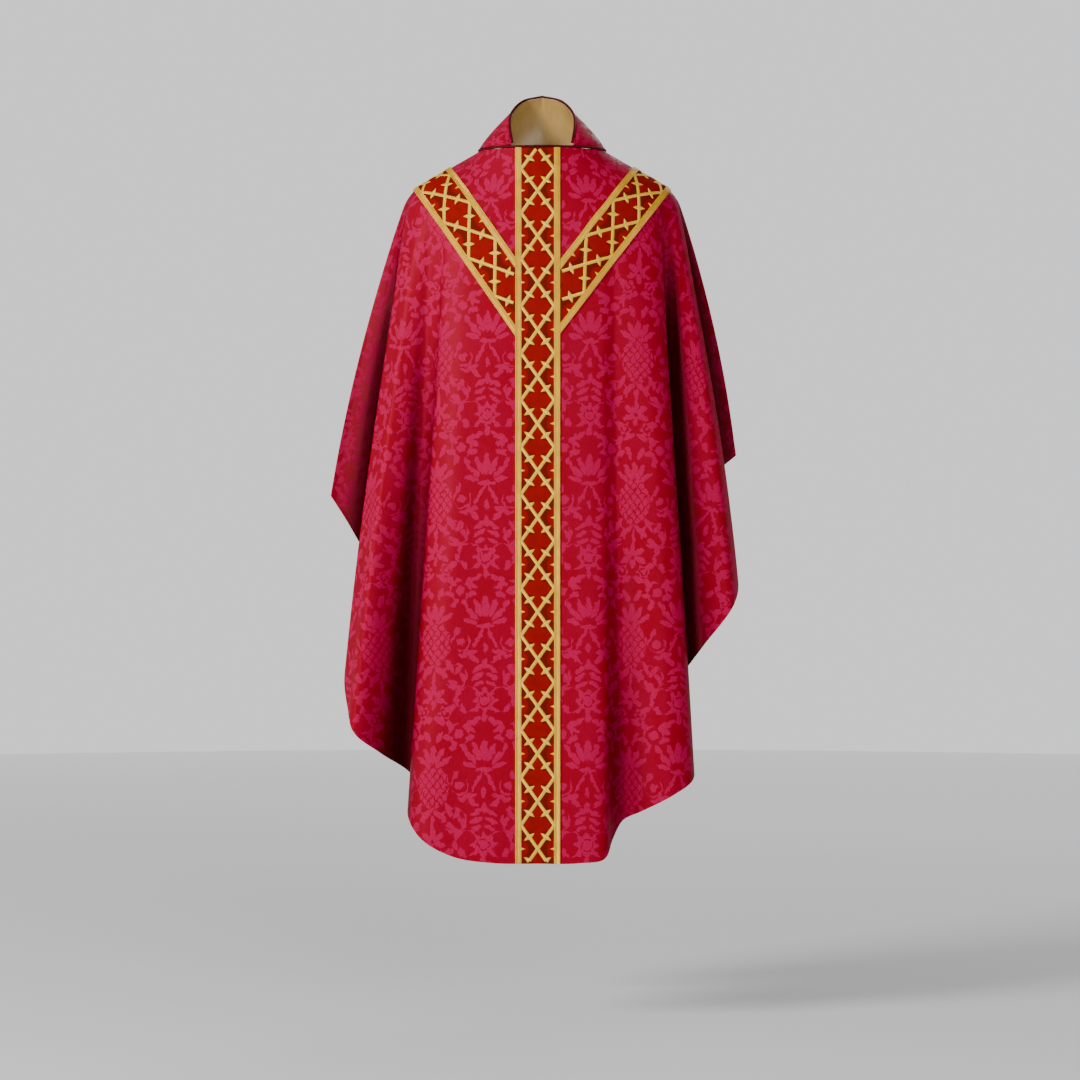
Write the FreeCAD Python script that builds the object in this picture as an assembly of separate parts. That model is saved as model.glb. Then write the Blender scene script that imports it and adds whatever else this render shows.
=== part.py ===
"""A semi-Gothic chasuble, draped as it hangs from a wearer's shoulders.

Frame: +Z up, the front of the garment faces -Y, and +X is the left side of the wearer.
The origin lies in the plane of the front neckline, on the centre line of the front orphrey.
All sizes are in millimetres.

The cloth is one drape formula.  Fall lines start at the neck ring, cross the shoulder, turn over
the shoulder edge and hang straight to the hem.  The hem is a smooth curve through the crests and
valleys of the folds.  Every layer and every trim lies on that surface, at its own height over it.
"""
import FreeCAD, Part
import math
import os

doc = FreeCAD.newDocument("chasuble")

# ---------------------------------------------------------------- driving dimensions
DIMENSIONS = [
    ("body_centre", 8),            # middle of neck and shoulders, from the orphrey's centre line
    ("neck_half_width", 113),
    ("neck_half_depth", 75),
    ("shoulder_half_width", 238),
    ("shoulder_half_depth", 112),
    ("shoulder_drop", 72),         # from the neckline down to the shoulder edge
    ("chest_drop", 50),            # how much lower that edge is at the chest and the back
    ("seam_gap", 0.4),             # half the gap between the edges of the front and back cloth
    ("back_rise", 16),             # the neck seam is higher behind than in front
    ("damask_thickness", 1.6),
    ("lining_thickness", 1.0),
    ("interfacing_thickness", 0.7),
    ("band_thickness", 1.0),
    ("galloon_thickness", 1.2),
    ("lattice_thickness", 0.8),
    ("layer_gap", 0.3),
    ("band_width", 78),
    ("galloon_width", 10.5),
    ("lattice_pitch", 82.3),
    ("lattice_bar", 6),
    ("arm_low_depth", 266),        # below the neckline, where an arm's middle meets the pillar
    ("arm_seam_reach", 196),       # from the body's centre, where it crosses the shoulder seam
    ("arm_seam_depth", 49),        # and how far below the neckline that is
    ("hem_interfacing_width", 40),
    ("hem_setback", 8),            # the lining stops this far short of the hem
    ("seam_tape_width", 16),
    ("piping_diameter", 4),
    ("collar_rise", 100),
]

sizes = doc.addObject("Spreadsheet::Sheet", "sizes")
for line, (alias, value) in enumerate(DIMENSIONS, start=1):
    sizes.set("A%d" % line, alias.replace("_", " "))
    sizes.set("B%d" % line, str(value))
    sizes.setAlias("B%d" % line, alias)
doc.recompute()


def size(alias):
    """A driving dimension, read back from the sheet."""
    return float(getattr(sizes, alias))


# ---------------------------------------------------------------- the folds at the hem
# Each row is one crest or valley: the angle on the shoulder edge where its fall line starts
# (0 at the centre line, 90 at the shoulder seam), then the place of its hem point.
# Y is given for the front panel; the back panel mirrors it.
LEFT_OF_WEARER = [
    (0, 0, -176, -1253),           # centre line
    (16, 74, -178, -1252),
    (25, 116, -170, -1246),        # edge of the centre lobe
    (29, 133, -148, -1212),
    (31.5, 150, -138, -1183),      # shallow valley
    (37, 184, -156, -1164),
    (46, 238, -164, -1136),        # front lobe
    (53, 274, -138, -1112),
    (57, 279, -100, -1092),        # crest of the front lobe
    (61, 240, -56, -1040),
    (65, 210, -34, -992),          # deep valley behind the front lobe
    (69, 246, -70, -944),
    (73, 300, -106, -873),
    (78, 350, -98, -806),          # side lobe
    (82, 361, -62, -772),
    (85, 318, -40, -664),
    (88, 326, -34, -568),
    (90, 356, 0, -540),            # wrist, at the end of the shoulder seam
]
RIGHT_OF_WEARER = [
    (16, -78, -178, -1252),
    (27, -150, -172, -1241),
    (36, -208, -156, -1208),
    (43, -232, -122, -1166),       # edge of the centre lobe
    (47, -212, -80, -1122),
    (52, -236, -60, -1100),        # valley
    (58, -284, -92, -1066),
    (64, -330, -108, -1028),       # side lobe
    (69, -341, -82, -990),
    (74, -349, -56, -940),
    (78, -332, -30, -850),
    (82, -300, -18, -740),
    (86, -330, -22, -676),
    (90, -370, 0, -612),           # wrist
]
FOLDS = [(-angle, x, y, z) for angle, x, y, z in reversed(RIGHT_OF_WEARER)] + LEFT_OF_WEARER


# ---------------------------------------------------------------- the drape formula
def blend_through(knots, rows, at):
    """A smooth curve through rows of numbers, read at one parameter value."""
    last = len(knots) - 1
    k = max(i for i in range(last) if knots[i] <= at or i == 0)

    def slope(i):
        if i == 0:
            return [(b - a) / (knots[1] - knots[0]) for a, b in zip(rows[0], rows[1])]
        if i == last:
            return [(b - a) / (knots[i] - knots[i - 1]) for a, b in zip(rows[i - 1], rows[i])]
        before = knots[i] - knots[i - 1]
        after = knots[i + 1] - knots[i]
        return [
            ((b - a) / before * after + (c - b) / after * before) / (before + after)
            for a, b, c in zip(rows[i - 1], rows[i], rows[i + 1])
        ]

    span = knots[k + 1] - knots[k]
    s = (at - knots[k]) / span
    weights = (2 * s**3 - 3 * s**2 + 1, (s**3 - 2 * s**2 + s) * span, 3 * s**2 - 2 * s**3, (s**3 - s**2) * span)
    return [
        weights[0] * p + weights[1] * m + weights[2] * q + weights[3] * n
        for p, m, q, n in zip(rows[k], slope(k), rows[k + 1], slope(k + 1))
    ]


def distances_along(points):
    """Running length along a list of points."""
    total = [0.0]
    for a, b in zip(points, points[1:]):
        total.append(total[-1] + a.distanceToPoint(b))
    return total


HEM_KNOTS = distances_along([FreeCAD.Vector(x, y, z) for angle, x, y, z in FOLDS])


class Drape:
    """One half of the cloth: facing is -1 for the front and +1 for the back."""

    def __init__(self, facing):
        self.facing = facing
        self.lines = {}

    def fall_line(self, across):
        """Neck, shoulder-edge and hem points of one fall line; across runs 0..1, seam to seam."""
        key = round(across, 9)
        if key in self.lines:
            return self.lines[key]
        angle, x, y, z = blend_through(HEM_KNOTS, FOLDS, across * HEM_KNOTS[-1])
        turn = math.radians(max(-90.0, min(90.0, angle)))
        reach = size("shoulder_half_width") * math.sin(turn)
        neck = size("neck_half_width")
        shrink = 1 - (1 - abs(math.sin(turn))) ** (size("shoulder_half_width") / neck)
        neck_x = math.copysign(neck * shrink, turn)
        neck_y = size("neck_half_depth") * math.sqrt(max(0.0, 1 - shrink**2))
        drop = size("shoulder_drop") + size("chest_drop") * math.cos(turn) ** 2
        centre = size("body_centre")
        behind = self.facing > 0
        neck_z = size("back_rise") * math.cos(turn) ** 2 if behind else 0.0
        start = FreeCAD.Vector(centre + neck_x, self.facing * neck_y, neck_z)
        edge = FreeCAD.Vector(centre + reach, self.facing * size("shoulder_half_depth") * math.cos(turn), -drop)
        hem = FreeCAD.Vector(x, -self.facing * y, z)
        line = (start, edge, hem, turn)
        self.lines[key] = line
        return line

    def point(self, across, down):
        """A point of the cloth's middle surface; down runs 0..1 from the neck ring to the hem."""
        start, edge, hem, turn = self.fall_line(across)
        over = start.distanceToPoint(edge)
        hang = edge.distanceToPoint(hem)
        first = (edge - start).normalize()
        second = (hem - edge).normalize()
        travelled = down * (over + hang)
        round_off = min(26 + 50 * math.cos(turn) ** 2, 0.8 * over)
        if abs(travelled - over) < round_off:
            s = (travelled - over + round_off) / (2 * round_off)
            place = (edge - first * round_off) * (1 - s) ** 2 + edge * (2 * s * (1 - s))
            place = place + (edge + second * round_off) * s**2
        elif travelled < over:
            place = start + first * travelled
        else:
            place = edge + second * (travelled - over)
        hung = max(0.0, min(1.0, (travelled - over) / hang))
        bow = 56 * hung * (1 - hung) * abs(math.sin(turn)) ** 6
        seam = self.facing * size("seam_gap")
        return place + FreeCAD.Vector(math.copysign(bow, turn), seam, 0)

    def length(self, across):
        start, edge, hem, turn = self.fall_line(across)
        return start.distanceToPoint(edge) + edge.distanceToPoint(hem)

    def outward(self, across, down):
        """Unit normal of the cloth, away from the wearer."""
        step = 1e-3
        a0, a1 = max(0.0, across - step), min(1.0, across + step)
        d0, d1 = max(0.0, down - step), min(1.0, down + step)
        along = self.point(a1, down) - self.point(a0, down)
        fall = self.point(across, d1) - self.point(across, d0)
        return (along.cross(fall) * self.facing).normalize()

    def raised(self, across, down, height):
        return self.point(across, down) + self.outward(across, down) * height


FRONT = Drape(-1)
BACK = Drape(1)


# ---------------------------------------------------------------- thin solids
def poles_of(points):
    """The poles of a smooth curve through points at evenly spaced parameters."""
    curve = Part.BSplineCurve()
    curve.interpolate(Points=points, Parameters=[float(i) for i in range(len(points))])
    return curve.getPoles()


def even_knots(count):
    """Knots and their multiplicities for a cubic through a number of points."""
    knots = [float(i) for i in range(count)]
    return knots, [4] + [1] * (count - 2) + [4]


def face_through(grid):
    """A smooth surface through a grid of points, with the same even knots for every layer."""
    along_rows = [poles_of(row) for row in grid]
    columns = [poles_of(list(column)) for column in zip(*along_rows)]
    u_knots, u_mults = even_knots(len(grid))
    v_knots, v_mults = even_knots(len(grid[0]))
    poles = [list(row) for row in zip(*columns)]
    surface = Part.BSplineSurface()
    surface.buildFromPolesMultsKnots(poles, u_mults, v_mults, u_knots, v_knots, False, False, 3, 3)
    return surface


def thin_solid(inner, outer):
    """A closed thin solid between two grids of points."""
    low = face_through(inner)
    high = face_through(outer)
    faces = [low.toShape(), high.toShape()]
    for pick in ("uIso", "vIso"):
        for end in (0, 1):
            rims = []
            for surface in (low, high):
                u0, u1, v0, v1 = surface.bounds()
                value = ((u0, u1) if pick == "uIso" else (v0, v1))[end]
                rims.append(getattr(surface, pick)(value).toShape())
            faces.append(Part.makeRuledSurface(rims[0], rims[1]))
    shell = Part.makeShell(faces)
    shell.sewShape()
    solid = Part.makeSolid(shell)
    if solid.Volume < 0:
        solid.reverse()
    return solid


def sub_part(label, shape):
    """A named sub-part of the garment."""
    node = doc.addObject("Part::Feature", label)
    node.Label = label
    node.Shape = shape
    node.Placement = FreeCAD.Placement()
    return node


def steps(first, last, count):
    return [first + (last - first) * i / (count - 1) for i in range(count)]


# ---------------------------------------------------------------- layers of the two panels
COLUMNS = 61
ROWS = 27


def rows_down(first, last):
    """Rows packed more closely near the neck, where the cloth bends over the shoulder."""
    return [first + (last - first) * (i / (ROWS - 1)) ** 1.3 for i in range(ROWS)]


def panel_layer(drape, low, high, top=0.0, setback=0.0, start=0.0):
    """A full layer of one panel, from height low to height high over the middle surface."""
    inner, outer = [], []
    for across in steps(0, 1, COLUMNS):
        length = drape.length(across)
        downs = rows_down(top / length if not start else 1 - start / length, 1 - setback / length)
        inner.append([drape.raised(across, down, low) for down in downs])
        outer.append([drape.raised(across, down, high) for down in downs])
    return thin_solid(inner, outer)


def build_panels():
    half = size("damask_thickness") / 2
    gap = size("layer_gap")
    stiff_top = -half - gap
    stiff_low = stiff_top - size("interfacing_thickness")
    lining_top = stiff_low - gap
    lining_low = lining_top - size("lining_thickness")
    setback = size("hem_setback")
    for name, drape in (("front", FRONT), ("back", BACK)):
        sub_part(name + "_panel", panel_layer(drape, -half, half))
        sub_part(name + "_lining", panel_layer(drape, lining_low, lining_top, top=3, setback=setback))
        width = size("hem_interfacing_width")
        sub_part(name + "_hem_interfacing", panel_layer(drape, stiff_low, stiff_top, setback=2, start=width))


build_panels()


# ---------------------------------------------------------------- places on the cloth
class Spot:
    """A place on the cloth that can walk over it, and from one panel to the other at the seam."""

    def __init__(self, drape, across, down):
        self.drape = drape
        self.across = across
        self.down = down

    def point(self, height=0.0):
        if height == 0.0:
            return self.drape.point(self.across, self.down)
        return self.drape.raised(self.across, self.down, height)

    def outward(self):
        return self.drape.outward(self.across, self.down)

    def moved(self, direction, distance):
        """The spot a given distance away, reached by short straight steps on the surface."""
        spot = Spot(self.drape, self.across, self.down)
        count = max(1, math.ceil(abs(distance) / 5))
        stride = distance / count
        for _ in range(count):
            spot.stride(direction * stride)
            normal = spot.outward()
            direction = (direction - normal * direction.dot(normal)).normalize()
        return spot

    def stride(self, change):
        step = 1e-4
        here = self.drape.point(self.across, self.down)
        by_across = (self.drape.point(self.across + step, self.down) - here) / step
        by_down = (self.drape.point(self.across, self.down + step) - here) / step
        a, b, c = by_across.dot(by_across), by_across.dot(by_down), by_down.dot(by_down)
        p, q = change.dot(by_across), change.dot(by_down)
        det = a * c - b * b
        self.across += (p * c - q * b) / det
        self.down += (q * a - p * b) / det
        if self.across > 1 or self.across < 0:
            self.drape = BACK if self.drape is FRONT else FRONT
            self.across = 2 - self.across if self.across > 1 else -self.across


def solve(function, low, high):
    """Where a function that rises from low to high crosses zero."""
    rising = function(high) > function(low)
    for _ in range(40):
        middle = (low + high) / 2
        if (function(middle) > 0) == rising:
            high = middle
        else:
            low = middle
    return (low + high) / 2


class Pillar:
    """The upright orphrey of one panel: along runs down the centre, across runs towards +X."""

    def __init__(self, drape):
        self.drape = drape
        self.middle = solve(lambda across: drape.point(across, 0.5).x, 0.35, 0.65)
        self.length = drape.length(self.middle)
        self.first_crossing = 0.0

    def starts(self, across_mm):
        return 0.5

    def ends(self, across_mm):
        return self.length - 0.5

    def spot(self, along, across_mm):
        down = along / self.length
        across = solve(lambda a: self.drape.point(a, down).x - across_mm, 0.3, 0.7)
        return Spot(self.drape, across, down)


class Arm:
    """One arm of the Y: from the front pillar over the shoulder to the back pillar."""

    def __init__(self, hand):
        self.hand = hand
        self.seam = 1.0 if hand > 0 else 0.0
        self.margin = size("band_width") / 2 + 0.4
        self.cache = {}
        stations = []
        start_x, start_z = hand * self.margin, -size("arm_low_depth")
        seam_x = size("body_centre") + hand * size("arm_seam_reach")
        slope = (-size("arm_seam_depth") - start_z) / (seam_x - start_x)

        def off_line(drape, across, down):
            place = drape.point(across, down)
            return place.z - start_z - slope * (place.x - start_x)

        for drape in (FRONT, BACK):
            side = []
            centre = Pillar(drape).middle
            for across in steps(centre, self.seam, 60):
                down = solve(lambda d: off_line(drape, across, d), 0.02, 0.5)
                side.append(Spot(drape, across, down))
            stations += side if drape is FRONT else side[-2::-1]
        self.spots = stations
        self.run = distances_along([spot.point() for spot in stations])
        self.half = self.run[59]
        self.first_crossing = self.half

    def middle(self, along):
        """The spot on the arm's middle line, with its forward direction."""
        k = max(0, min(len(self.run) - 2, sum(1 for r in self.run if r <= along) - 1))
        first, second = self.spots[k], self.spots[k + 1]
        s = (along - self.run[k]) / (self.run[k + 1] - self.run[k])
        forward = (second.point() - first.point()).normalize()
        drape = first.drape if k < 59 else BACK
        other_across = second.across
        spot = Spot(drape, first.across + (other_across - first.across) * s, first.down + (second.down - first.down) * s)
        return spot, forward

    def spot(self, along, across_mm):
        key = (round(along, 4), round(across_mm, 4))
        if key not in self.cache:
            spot, forward = self.middle(along)
            sideways = spot.outward().cross(forward) * -self.hand
            self.cache[key] = spot.moved(sideways.normalize(), across_mm) if across_mm else spot
        return self.cache[key]

    def starts(self, across_mm):
        return solve(lambda s: self.spot(s, across_mm).point().x * self.hand - self.margin, 0, self.half * 0.8)

    def ends(self, across_mm):
        return solve(
            lambda s: self.spot(s, across_mm).point().x * self.hand - self.margin,
            self.half * 1.2,
            self.run[-1],
        )


# ---------------------------------------------------------------- orphreys
def strip(band, edge_a, edge_b, low, high, along_count, across_count):
    """A thin strip of a band between two offsets across it, over the band's whole length."""
    inner, outer = [], []
    for across_mm in steps(edge_a, edge_b, across_count):
        first, last = band.starts(across_mm), band.ends(across_mm)
        spots = [band.spot(along, across_mm) for along in steps(first, last, along_count)]
        inner.append([spot.point(low) for spot in spots])
        outer.append([spot.point(high) for spot in spots])
    return thin_solid(inner, outer)


def bar(band, tail, head, width, low, high):
    """One straight bar of the lattice, between two places given as (along, across)."""
    run, rise = head[0] - tail[0], head[1] - tail[1]
    length = math.hypot(run, rise)
    inner, outer = [], []
    for offset in steps(-width / 2, width / 2, 4):
        shift_along, shift_across = -rise / length * offset, run / length * offset
        spots = [
            band.spot(tail[0] + run * s + shift_along, tail[1] + rise * s + shift_across)
            for s in steps(0, 1, 5)
        ]
        inner.append([spot.point(low) for spot in spots])
        outer.append([spot.point(high) for spot in spots])
    return thin_solid(inner, outer)


def lattice(band, low, high):
    """Two families of crossing bars; the second family is cut where the first passes."""
    width = size("lattice_bar")
    edge = size("band_width") / 2 - size("galloon_width") - width / 2 - 0.6
    pitch = size("lattice_pitch")
    nearest = max(band.starts(edge), band.starts(-edge)) + width
    farthest = min(band.ends(edge), band.ends(-edge)) - width
    crossing = 0.07                # half the share of a bar that a crossing bar covers
    bars = []

    def add(start, sign, first, last):
        first = max(first, (nearest - start) / pitch)
        last = min(last, (farthest - start) / pitch)
        if (last - first) * pitch > 2 * width:
            tail = (start + pitch * first, sign * edge * (2 * first - 1))
            head = (start + pitch * last, sign * edge * (2 * last - 1))
            bars.append(bar(band, tail, head, width, low, high))

    start = band.first_crossing - pitch / 2
    while start > nearest - pitch:
        start -= pitch
    while start < farthest:
        add(start, 1, 0.0, 1.0)
        add(start, -1, 0.05, 0.5 - crossing)
        add(start, -1, 0.5 + crossing, 0.95)
        start += pitch
    return Part.makeCompound(bars)


def build_orphreys():
    band_low = size("damask_thickness") / 2 + size("layer_gap")
    band_high = band_low + size("band_thickness")
    trim_low = band_high + size("layer_gap")
    trim_high = trim_low + size("galloon_thickness")
    half = size("band_width") / 2
    width = size("galloon_width")
    bands = [
        ("front_pillar", Pillar(FRONT), 45, ("right", "left")),
        ("back_pillar", Pillar(BACK), 45, ("right", "left")),
        ("left_arm", Arm(1), 41, ("upper", "lower")),
        ("right_arm", Arm(-1), 41, ("upper", "lower")),
    ]
    for name, band, count, sides in bands:
        sub_part(name + "_orphrey", strip(band, -half, half, band_low, band_high, count, 7))
        sub_part(name + "_galloon_" + sides[0], strip(band, -half, width - half, trim_low, trim_high, count, 4))
        sub_part(name + "_galloon_" + sides[1], strip(band, half - width, half, trim_low, trim_high, count, 4))
        high = trim_low + size("lattice_thickness")
        sub_part(name + "_lattice", lattice(band, trim_low, high))


build_orphreys()


# ---------------------------------------------------------------- neck seam, collar and seam tapes
def neck_ring(turn):
    """The neck seam; turn is 0 at the front centre and pi at the back centre."""
    x = size("body_centre") + size("neck_half_width") * math.sin(turn)
    y = -size("neck_half_depth") * math.cos(turn)
    rise = size("back_rise") * math.cos(turn) ** 2 if math.cos(turn) < 0 else 0.0
    return FreeCAD.Vector(x, y, rise)


def piping(label, points):
    """A corded edge, nearly round, along a list of points."""
    radius = size("piping_diameter") / 2
    grids = []
    for first, last in ((205, 335), (155, 25)):
        grid = []
        for angle in steps(math.radians(first), math.radians(last), 5):
            row = []
            for k, place in enumerate(points):
                ahead = points[min(k + 1, len(points) - 1)] - points[max(k - 1, 0)]
                sideways = ahead.cross(FreeCAD.Vector(0, 0, 1)).normalize()
                upwards = sideways.cross(ahead).normalize()
                row.append(place + (sideways * math.cos(angle) + upwards * math.sin(angle)) * radius)
            grid.append(row)
        grids.append(grid)
    sub_part(label, thin_solid(grids[0], grids[1]))


# The collar's upper edge on the wearer's right, from its front end to the back centre:
# how far round the neck seam each point stands, and its place from the body's centre.
COLLAR_EDGE = [
    (28, -54, -68, 3),
    (58, -59, -36, 34),
    (92, -57, 6, 64),
    (134, -36, 45, 90),
    (180, 0, 60, 100),
]


def collar_line(around, rise, inset):
    """A point of the collar; around runs 0..1 from end to end, rise 0..1 from seam to edge."""
    half = around * 2 if around <= 0.5 else 2 - around * 2
    side = -1 if around <= 0.5 else 1
    knots = [i / (len(COLLAR_EDGE) - 1) for i in range(len(COLLAR_EDGE))]
    angle, x, y, z = blend_through(knots, COLLAR_EDGE, half)
    base = neck_ring(side * math.radians(angle))
    lift = FreeCAD.Vector(0, 0, size("piping_diameter") + 1)
    top = FreeCAD.Vector(size("body_centre") - side * x, y, z * size("collar_rise") / 100)
    if side < 0:
        top.x = size("body_centre") + x
    middle = FreeCAD.Vector(size("body_centre"), base.y * 0.3, top.z)
    inward = middle - top
    inward.z = 0
    place = (base + lift) * (1 - rise) + (top + lift) * rise
    return place + inward.normalize() * inset


def collar_layer(low, high, margin):
    grids = []
    for inset in (high, low):
        grid = []
        for around in steps(margin, 1 - margin, 41):
            grid.append([collar_line(around, rise, inset) for rise in steps(0.02, 1 - margin, 7)])
        grids.append(grid)
    return thin_solid(grids[0], grids[1])


def build_collar():
    gap = size("layer_gap")
    cloth = size("damask_thickness")
    stiff = size("interfacing_thickness")
    lining = size("lining_thickness")
    sub_part("collar_outer", collar_layer(0, cloth, 0.0))
    sub_part("collar_interfacing", collar_layer(cloth + gap, cloth + gap + stiff, 0.03))
    inside = cloth + gap + stiff + gap
    sub_part("collar_lining", collar_layer(inside, inside + lining, 0.0))
    radius = size("piping_diameter") / 2
    above = FreeCAD.Vector(0, 0, radius + 1)
    butted = 0.006                 # the two ends of the neck piping meet behind the neck
    turns = steps(butted - math.pi, math.pi - butted, 61)
    piping("neck_piping", [neck_ring(turn) + above for turn in turns])
    depth = (inside + lining) / 2
    lift = FreeCAD.Vector(0, 0, radius + 0.3)
    edge = [collar_line(around, 1.0, depth) + lift for around in steps(0.0, 1.0, 41)]
    piping("collar_edge_piping", edge)


def build_seam_tapes():
    """A tape inside each shoulder seam, from the neck to the wrist, over both panels."""
    high = -size("damask_thickness") / 2 - size("layer_gap")
    low = high - size("interfacing_thickness")
    half = size("seam_tape_width") / 2
    for hand, seam, inner in (("left", 1.0, 0.999), ("right", 0.0, 0.001)):
        grids = []
        for height in (low, high):
            grid = []
            for offset in steps(-half, half, 5):
                row = []
                for down in rows_down(0.03, 0.94):
                    drape = FRONT if offset < 0 else BACK
                    spot = Spot(drape, seam, down)
                    if offset:
                        spot.across = inner
                        away = FreeCAD.Vector(0, math.copysign(1, offset), 0)
                        spot = spot.moved(away, abs(offset))
                    row.append(spot.point(height))
                grid.append(row)
            grids.append(grid)
        sub_part(hand + "_shoulder_seam_tape", thin_solid(grids[0], grids[1]))


build_collar()
build_seam_tapes()


# ---------------------------------------------------------------- checks and files
doc.recompute()
nodes = [item for item in doc.Objects if item.TypeId == "Part::Feature"]
for item in doc.Objects:
    if "Invalid" in item.State or "Error" in item.State:
        raise RuntimeError("not computed: " + item.Name)
for node in nodes:
    if node.Shape.isNull() or not node.Shape.isValid() or not node.Shape.Solids:
        raise RuntimeError("bad shape: " + node.Label)

os.makedirs("parts", exist_ok=True)
for node in nodes:
    node.Shape.exportStep("parts/" + node.Label + ".step")
    print(node.Label, len(node.Shape.Solids), round(node.Shape.Volume), node.Shape.BoundBox)
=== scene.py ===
"""The looks of a semi-Gothic chasuble: damask, velvet orphreys, gold braid, satin lining and piping.

Every layer and trim lies on one drape of the cloth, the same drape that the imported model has.
Places on the cloth are in millimetres until a mesh is made, which is in metres.
"""

import math

import bpy
import numpy as np
from bpy.props import FloatProperty, IntProperty, PointerProperty, StringProperty
from bpy.types import Operator, Panel, PropertyGroup
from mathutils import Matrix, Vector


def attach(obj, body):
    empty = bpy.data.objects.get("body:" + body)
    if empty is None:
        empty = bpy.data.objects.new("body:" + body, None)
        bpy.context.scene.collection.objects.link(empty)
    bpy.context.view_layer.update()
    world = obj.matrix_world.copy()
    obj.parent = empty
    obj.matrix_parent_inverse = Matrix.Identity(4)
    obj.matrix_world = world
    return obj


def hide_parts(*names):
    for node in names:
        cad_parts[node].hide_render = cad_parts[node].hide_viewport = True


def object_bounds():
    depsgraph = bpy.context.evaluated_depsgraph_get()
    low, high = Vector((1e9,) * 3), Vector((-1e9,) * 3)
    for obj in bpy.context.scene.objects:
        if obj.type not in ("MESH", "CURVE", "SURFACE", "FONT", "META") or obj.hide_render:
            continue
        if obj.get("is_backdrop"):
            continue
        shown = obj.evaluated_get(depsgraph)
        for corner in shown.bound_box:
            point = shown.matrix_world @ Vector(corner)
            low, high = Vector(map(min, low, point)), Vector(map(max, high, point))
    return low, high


bl_info = {
    "name": "Chasuble",
    "version": (1, 0, 0),
    "blender": (4, 5, 0),
    "location": "View3D > Sidebar > Chasuble",
    "description": "Builds a draped chasuble from its cloth layers, orphreys and trims",
    "category": "Object",
}

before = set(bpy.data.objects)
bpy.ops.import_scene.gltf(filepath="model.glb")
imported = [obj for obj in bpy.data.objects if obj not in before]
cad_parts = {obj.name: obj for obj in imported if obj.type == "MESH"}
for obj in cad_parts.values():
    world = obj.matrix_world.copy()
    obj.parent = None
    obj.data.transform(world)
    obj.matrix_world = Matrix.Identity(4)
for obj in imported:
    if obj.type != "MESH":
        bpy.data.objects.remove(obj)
CAD_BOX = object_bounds()
MM = 0.001
FRONT, BACK = -1.0, 1.0

# ---------------------------------------------------------------- the drape, as the model has it
BODY_CENTRE = 8.0
NECK_HALF_WIDTH = 113.0
NECK_HALF_DEPTH = 75.0
SHOULDER_HALF_WIDTH = 238.0
SHOULDER_HALF_DEPTH = 112.0
SHOULDER_DROP = 72.0
CHEST_DROP = 50.0
SEAM_GAP = 0.4
BACK_RISE = 16.0               # how much higher the neck ring is at the back
ROUND_OFF = 26.0               # how far the shoulder's edge is rounded at the seams
ROUND_OFF_MORE = 50.0          # and how much further at the centre
SEAM_BOW = 56.0                # how far the sides bow out halfway down
# Soft creases: a depth in mm, then two waves, each by its turns across, down and by side, and its start
CREASES = (
    (2.2, (61, 3.1, 1, 0), (17, 0, -1.4, 2.3)),
    (1.1, (127, -5.0, 2, 0), (23, 4.1, 0, 0)),
    (0.9, (13, 31, 1, 0), (29, 0, 0, 1.1)),
)

# Each row: the angle on the shoulder edge where a fall line starts, then the hem point.
LEFT_OF_WEARER = [
    (0, 0, -176, -1253),
    (16, 74, -178, -1252),
    (25, 116, -170, -1246),
    (29, 133, -148, -1212),
    (31.5, 150, -138, -1183),
    (37, 184, -156, -1164),
    (46, 238, -164, -1136),
    (53, 274, -138, -1112),
    (57, 279, -100, -1092),
    (61, 240, -56, -1040),
    (65, 210, -34, -992),
    (69, 246, -70, -944),
    (73, 300, -106, -873),
    (78, 350, -98, -806),
    (82, 361, -62, -772),
    (85, 318, -40, -664),
    (88, 326, -34, -568),
    (90, 356, 0, -540),
]
RIGHT_OF_WEARER = [
    (16, -78, -178, -1252),
    (27, -150, -172, -1241),
    (36, -208, -156, -1208),
    (43, -232, -122, -1166),
    (47, -212, -80, -1122),
    (52, -236, -60, -1100),
    (58, -284, -92, -1066),
    (64, -330, -108, -1028),
    (69, -341, -82, -990),
    (74, -349, -56, -940),
    (78, -332, -30, -850),
    (82, -300, -18, -740),
    (86, -330, -22, -676),
    (90, -370, 0, -612),
]
FOLDS = np.array([(-a, x, y, z) for a, x, y, z in reversed(RIGHT_OF_WEARER)] + LEFT_OF_WEARER, float)
HEM_KNOTS = np.concatenate([[0.0], np.cumsum(np.linalg.norm(np.diff(FOLDS[:, 1:], axis=0), axis=1))])

STEP = 1e-3           # how far apart a slope is read on a panel
SETTLED = {}          # how far the cloth has settled, filled in by the drape operator


def size_of(vectors):
    return np.linalg.norm(vectors, axis=-1, keepdims=True)


def through(knots, rows, at):
    """A smooth curve through rows of numbers, read at many parameter values."""
    spans = np.diff(knots)[:, None]
    rises = np.diff(rows, axis=0)
    before, after = spans[:-1], spans[1:]
    slopes = np.empty_like(rows)
    slopes[1:-1] = (rises[:-1] / before * after + rises[1:] / after * before) / (before + after)
    slopes[0] = rises[0] / spans[0]
    slopes[-1] = rises[-1] / spans[-1]
    at = np.asarray(at, float)
    k = np.clip(np.searchsorted(knots, at, side="right") - 1, 0, len(knots) - 2)
    span = (knots[k + 1] - knots[k])[..., None]
    s = (at - knots[k])[..., None] / span
    return (
        (2 * s**3 - 3 * s**2 + 1) * rows[k]
        + (s**3 - 2 * s**2 + s) * span * slopes[k]
        + (3 * s**2 - 2 * s**3) * rows[k + 1]
        + (s**3 - s**2) * span * slopes[k + 1]
    )


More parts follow.
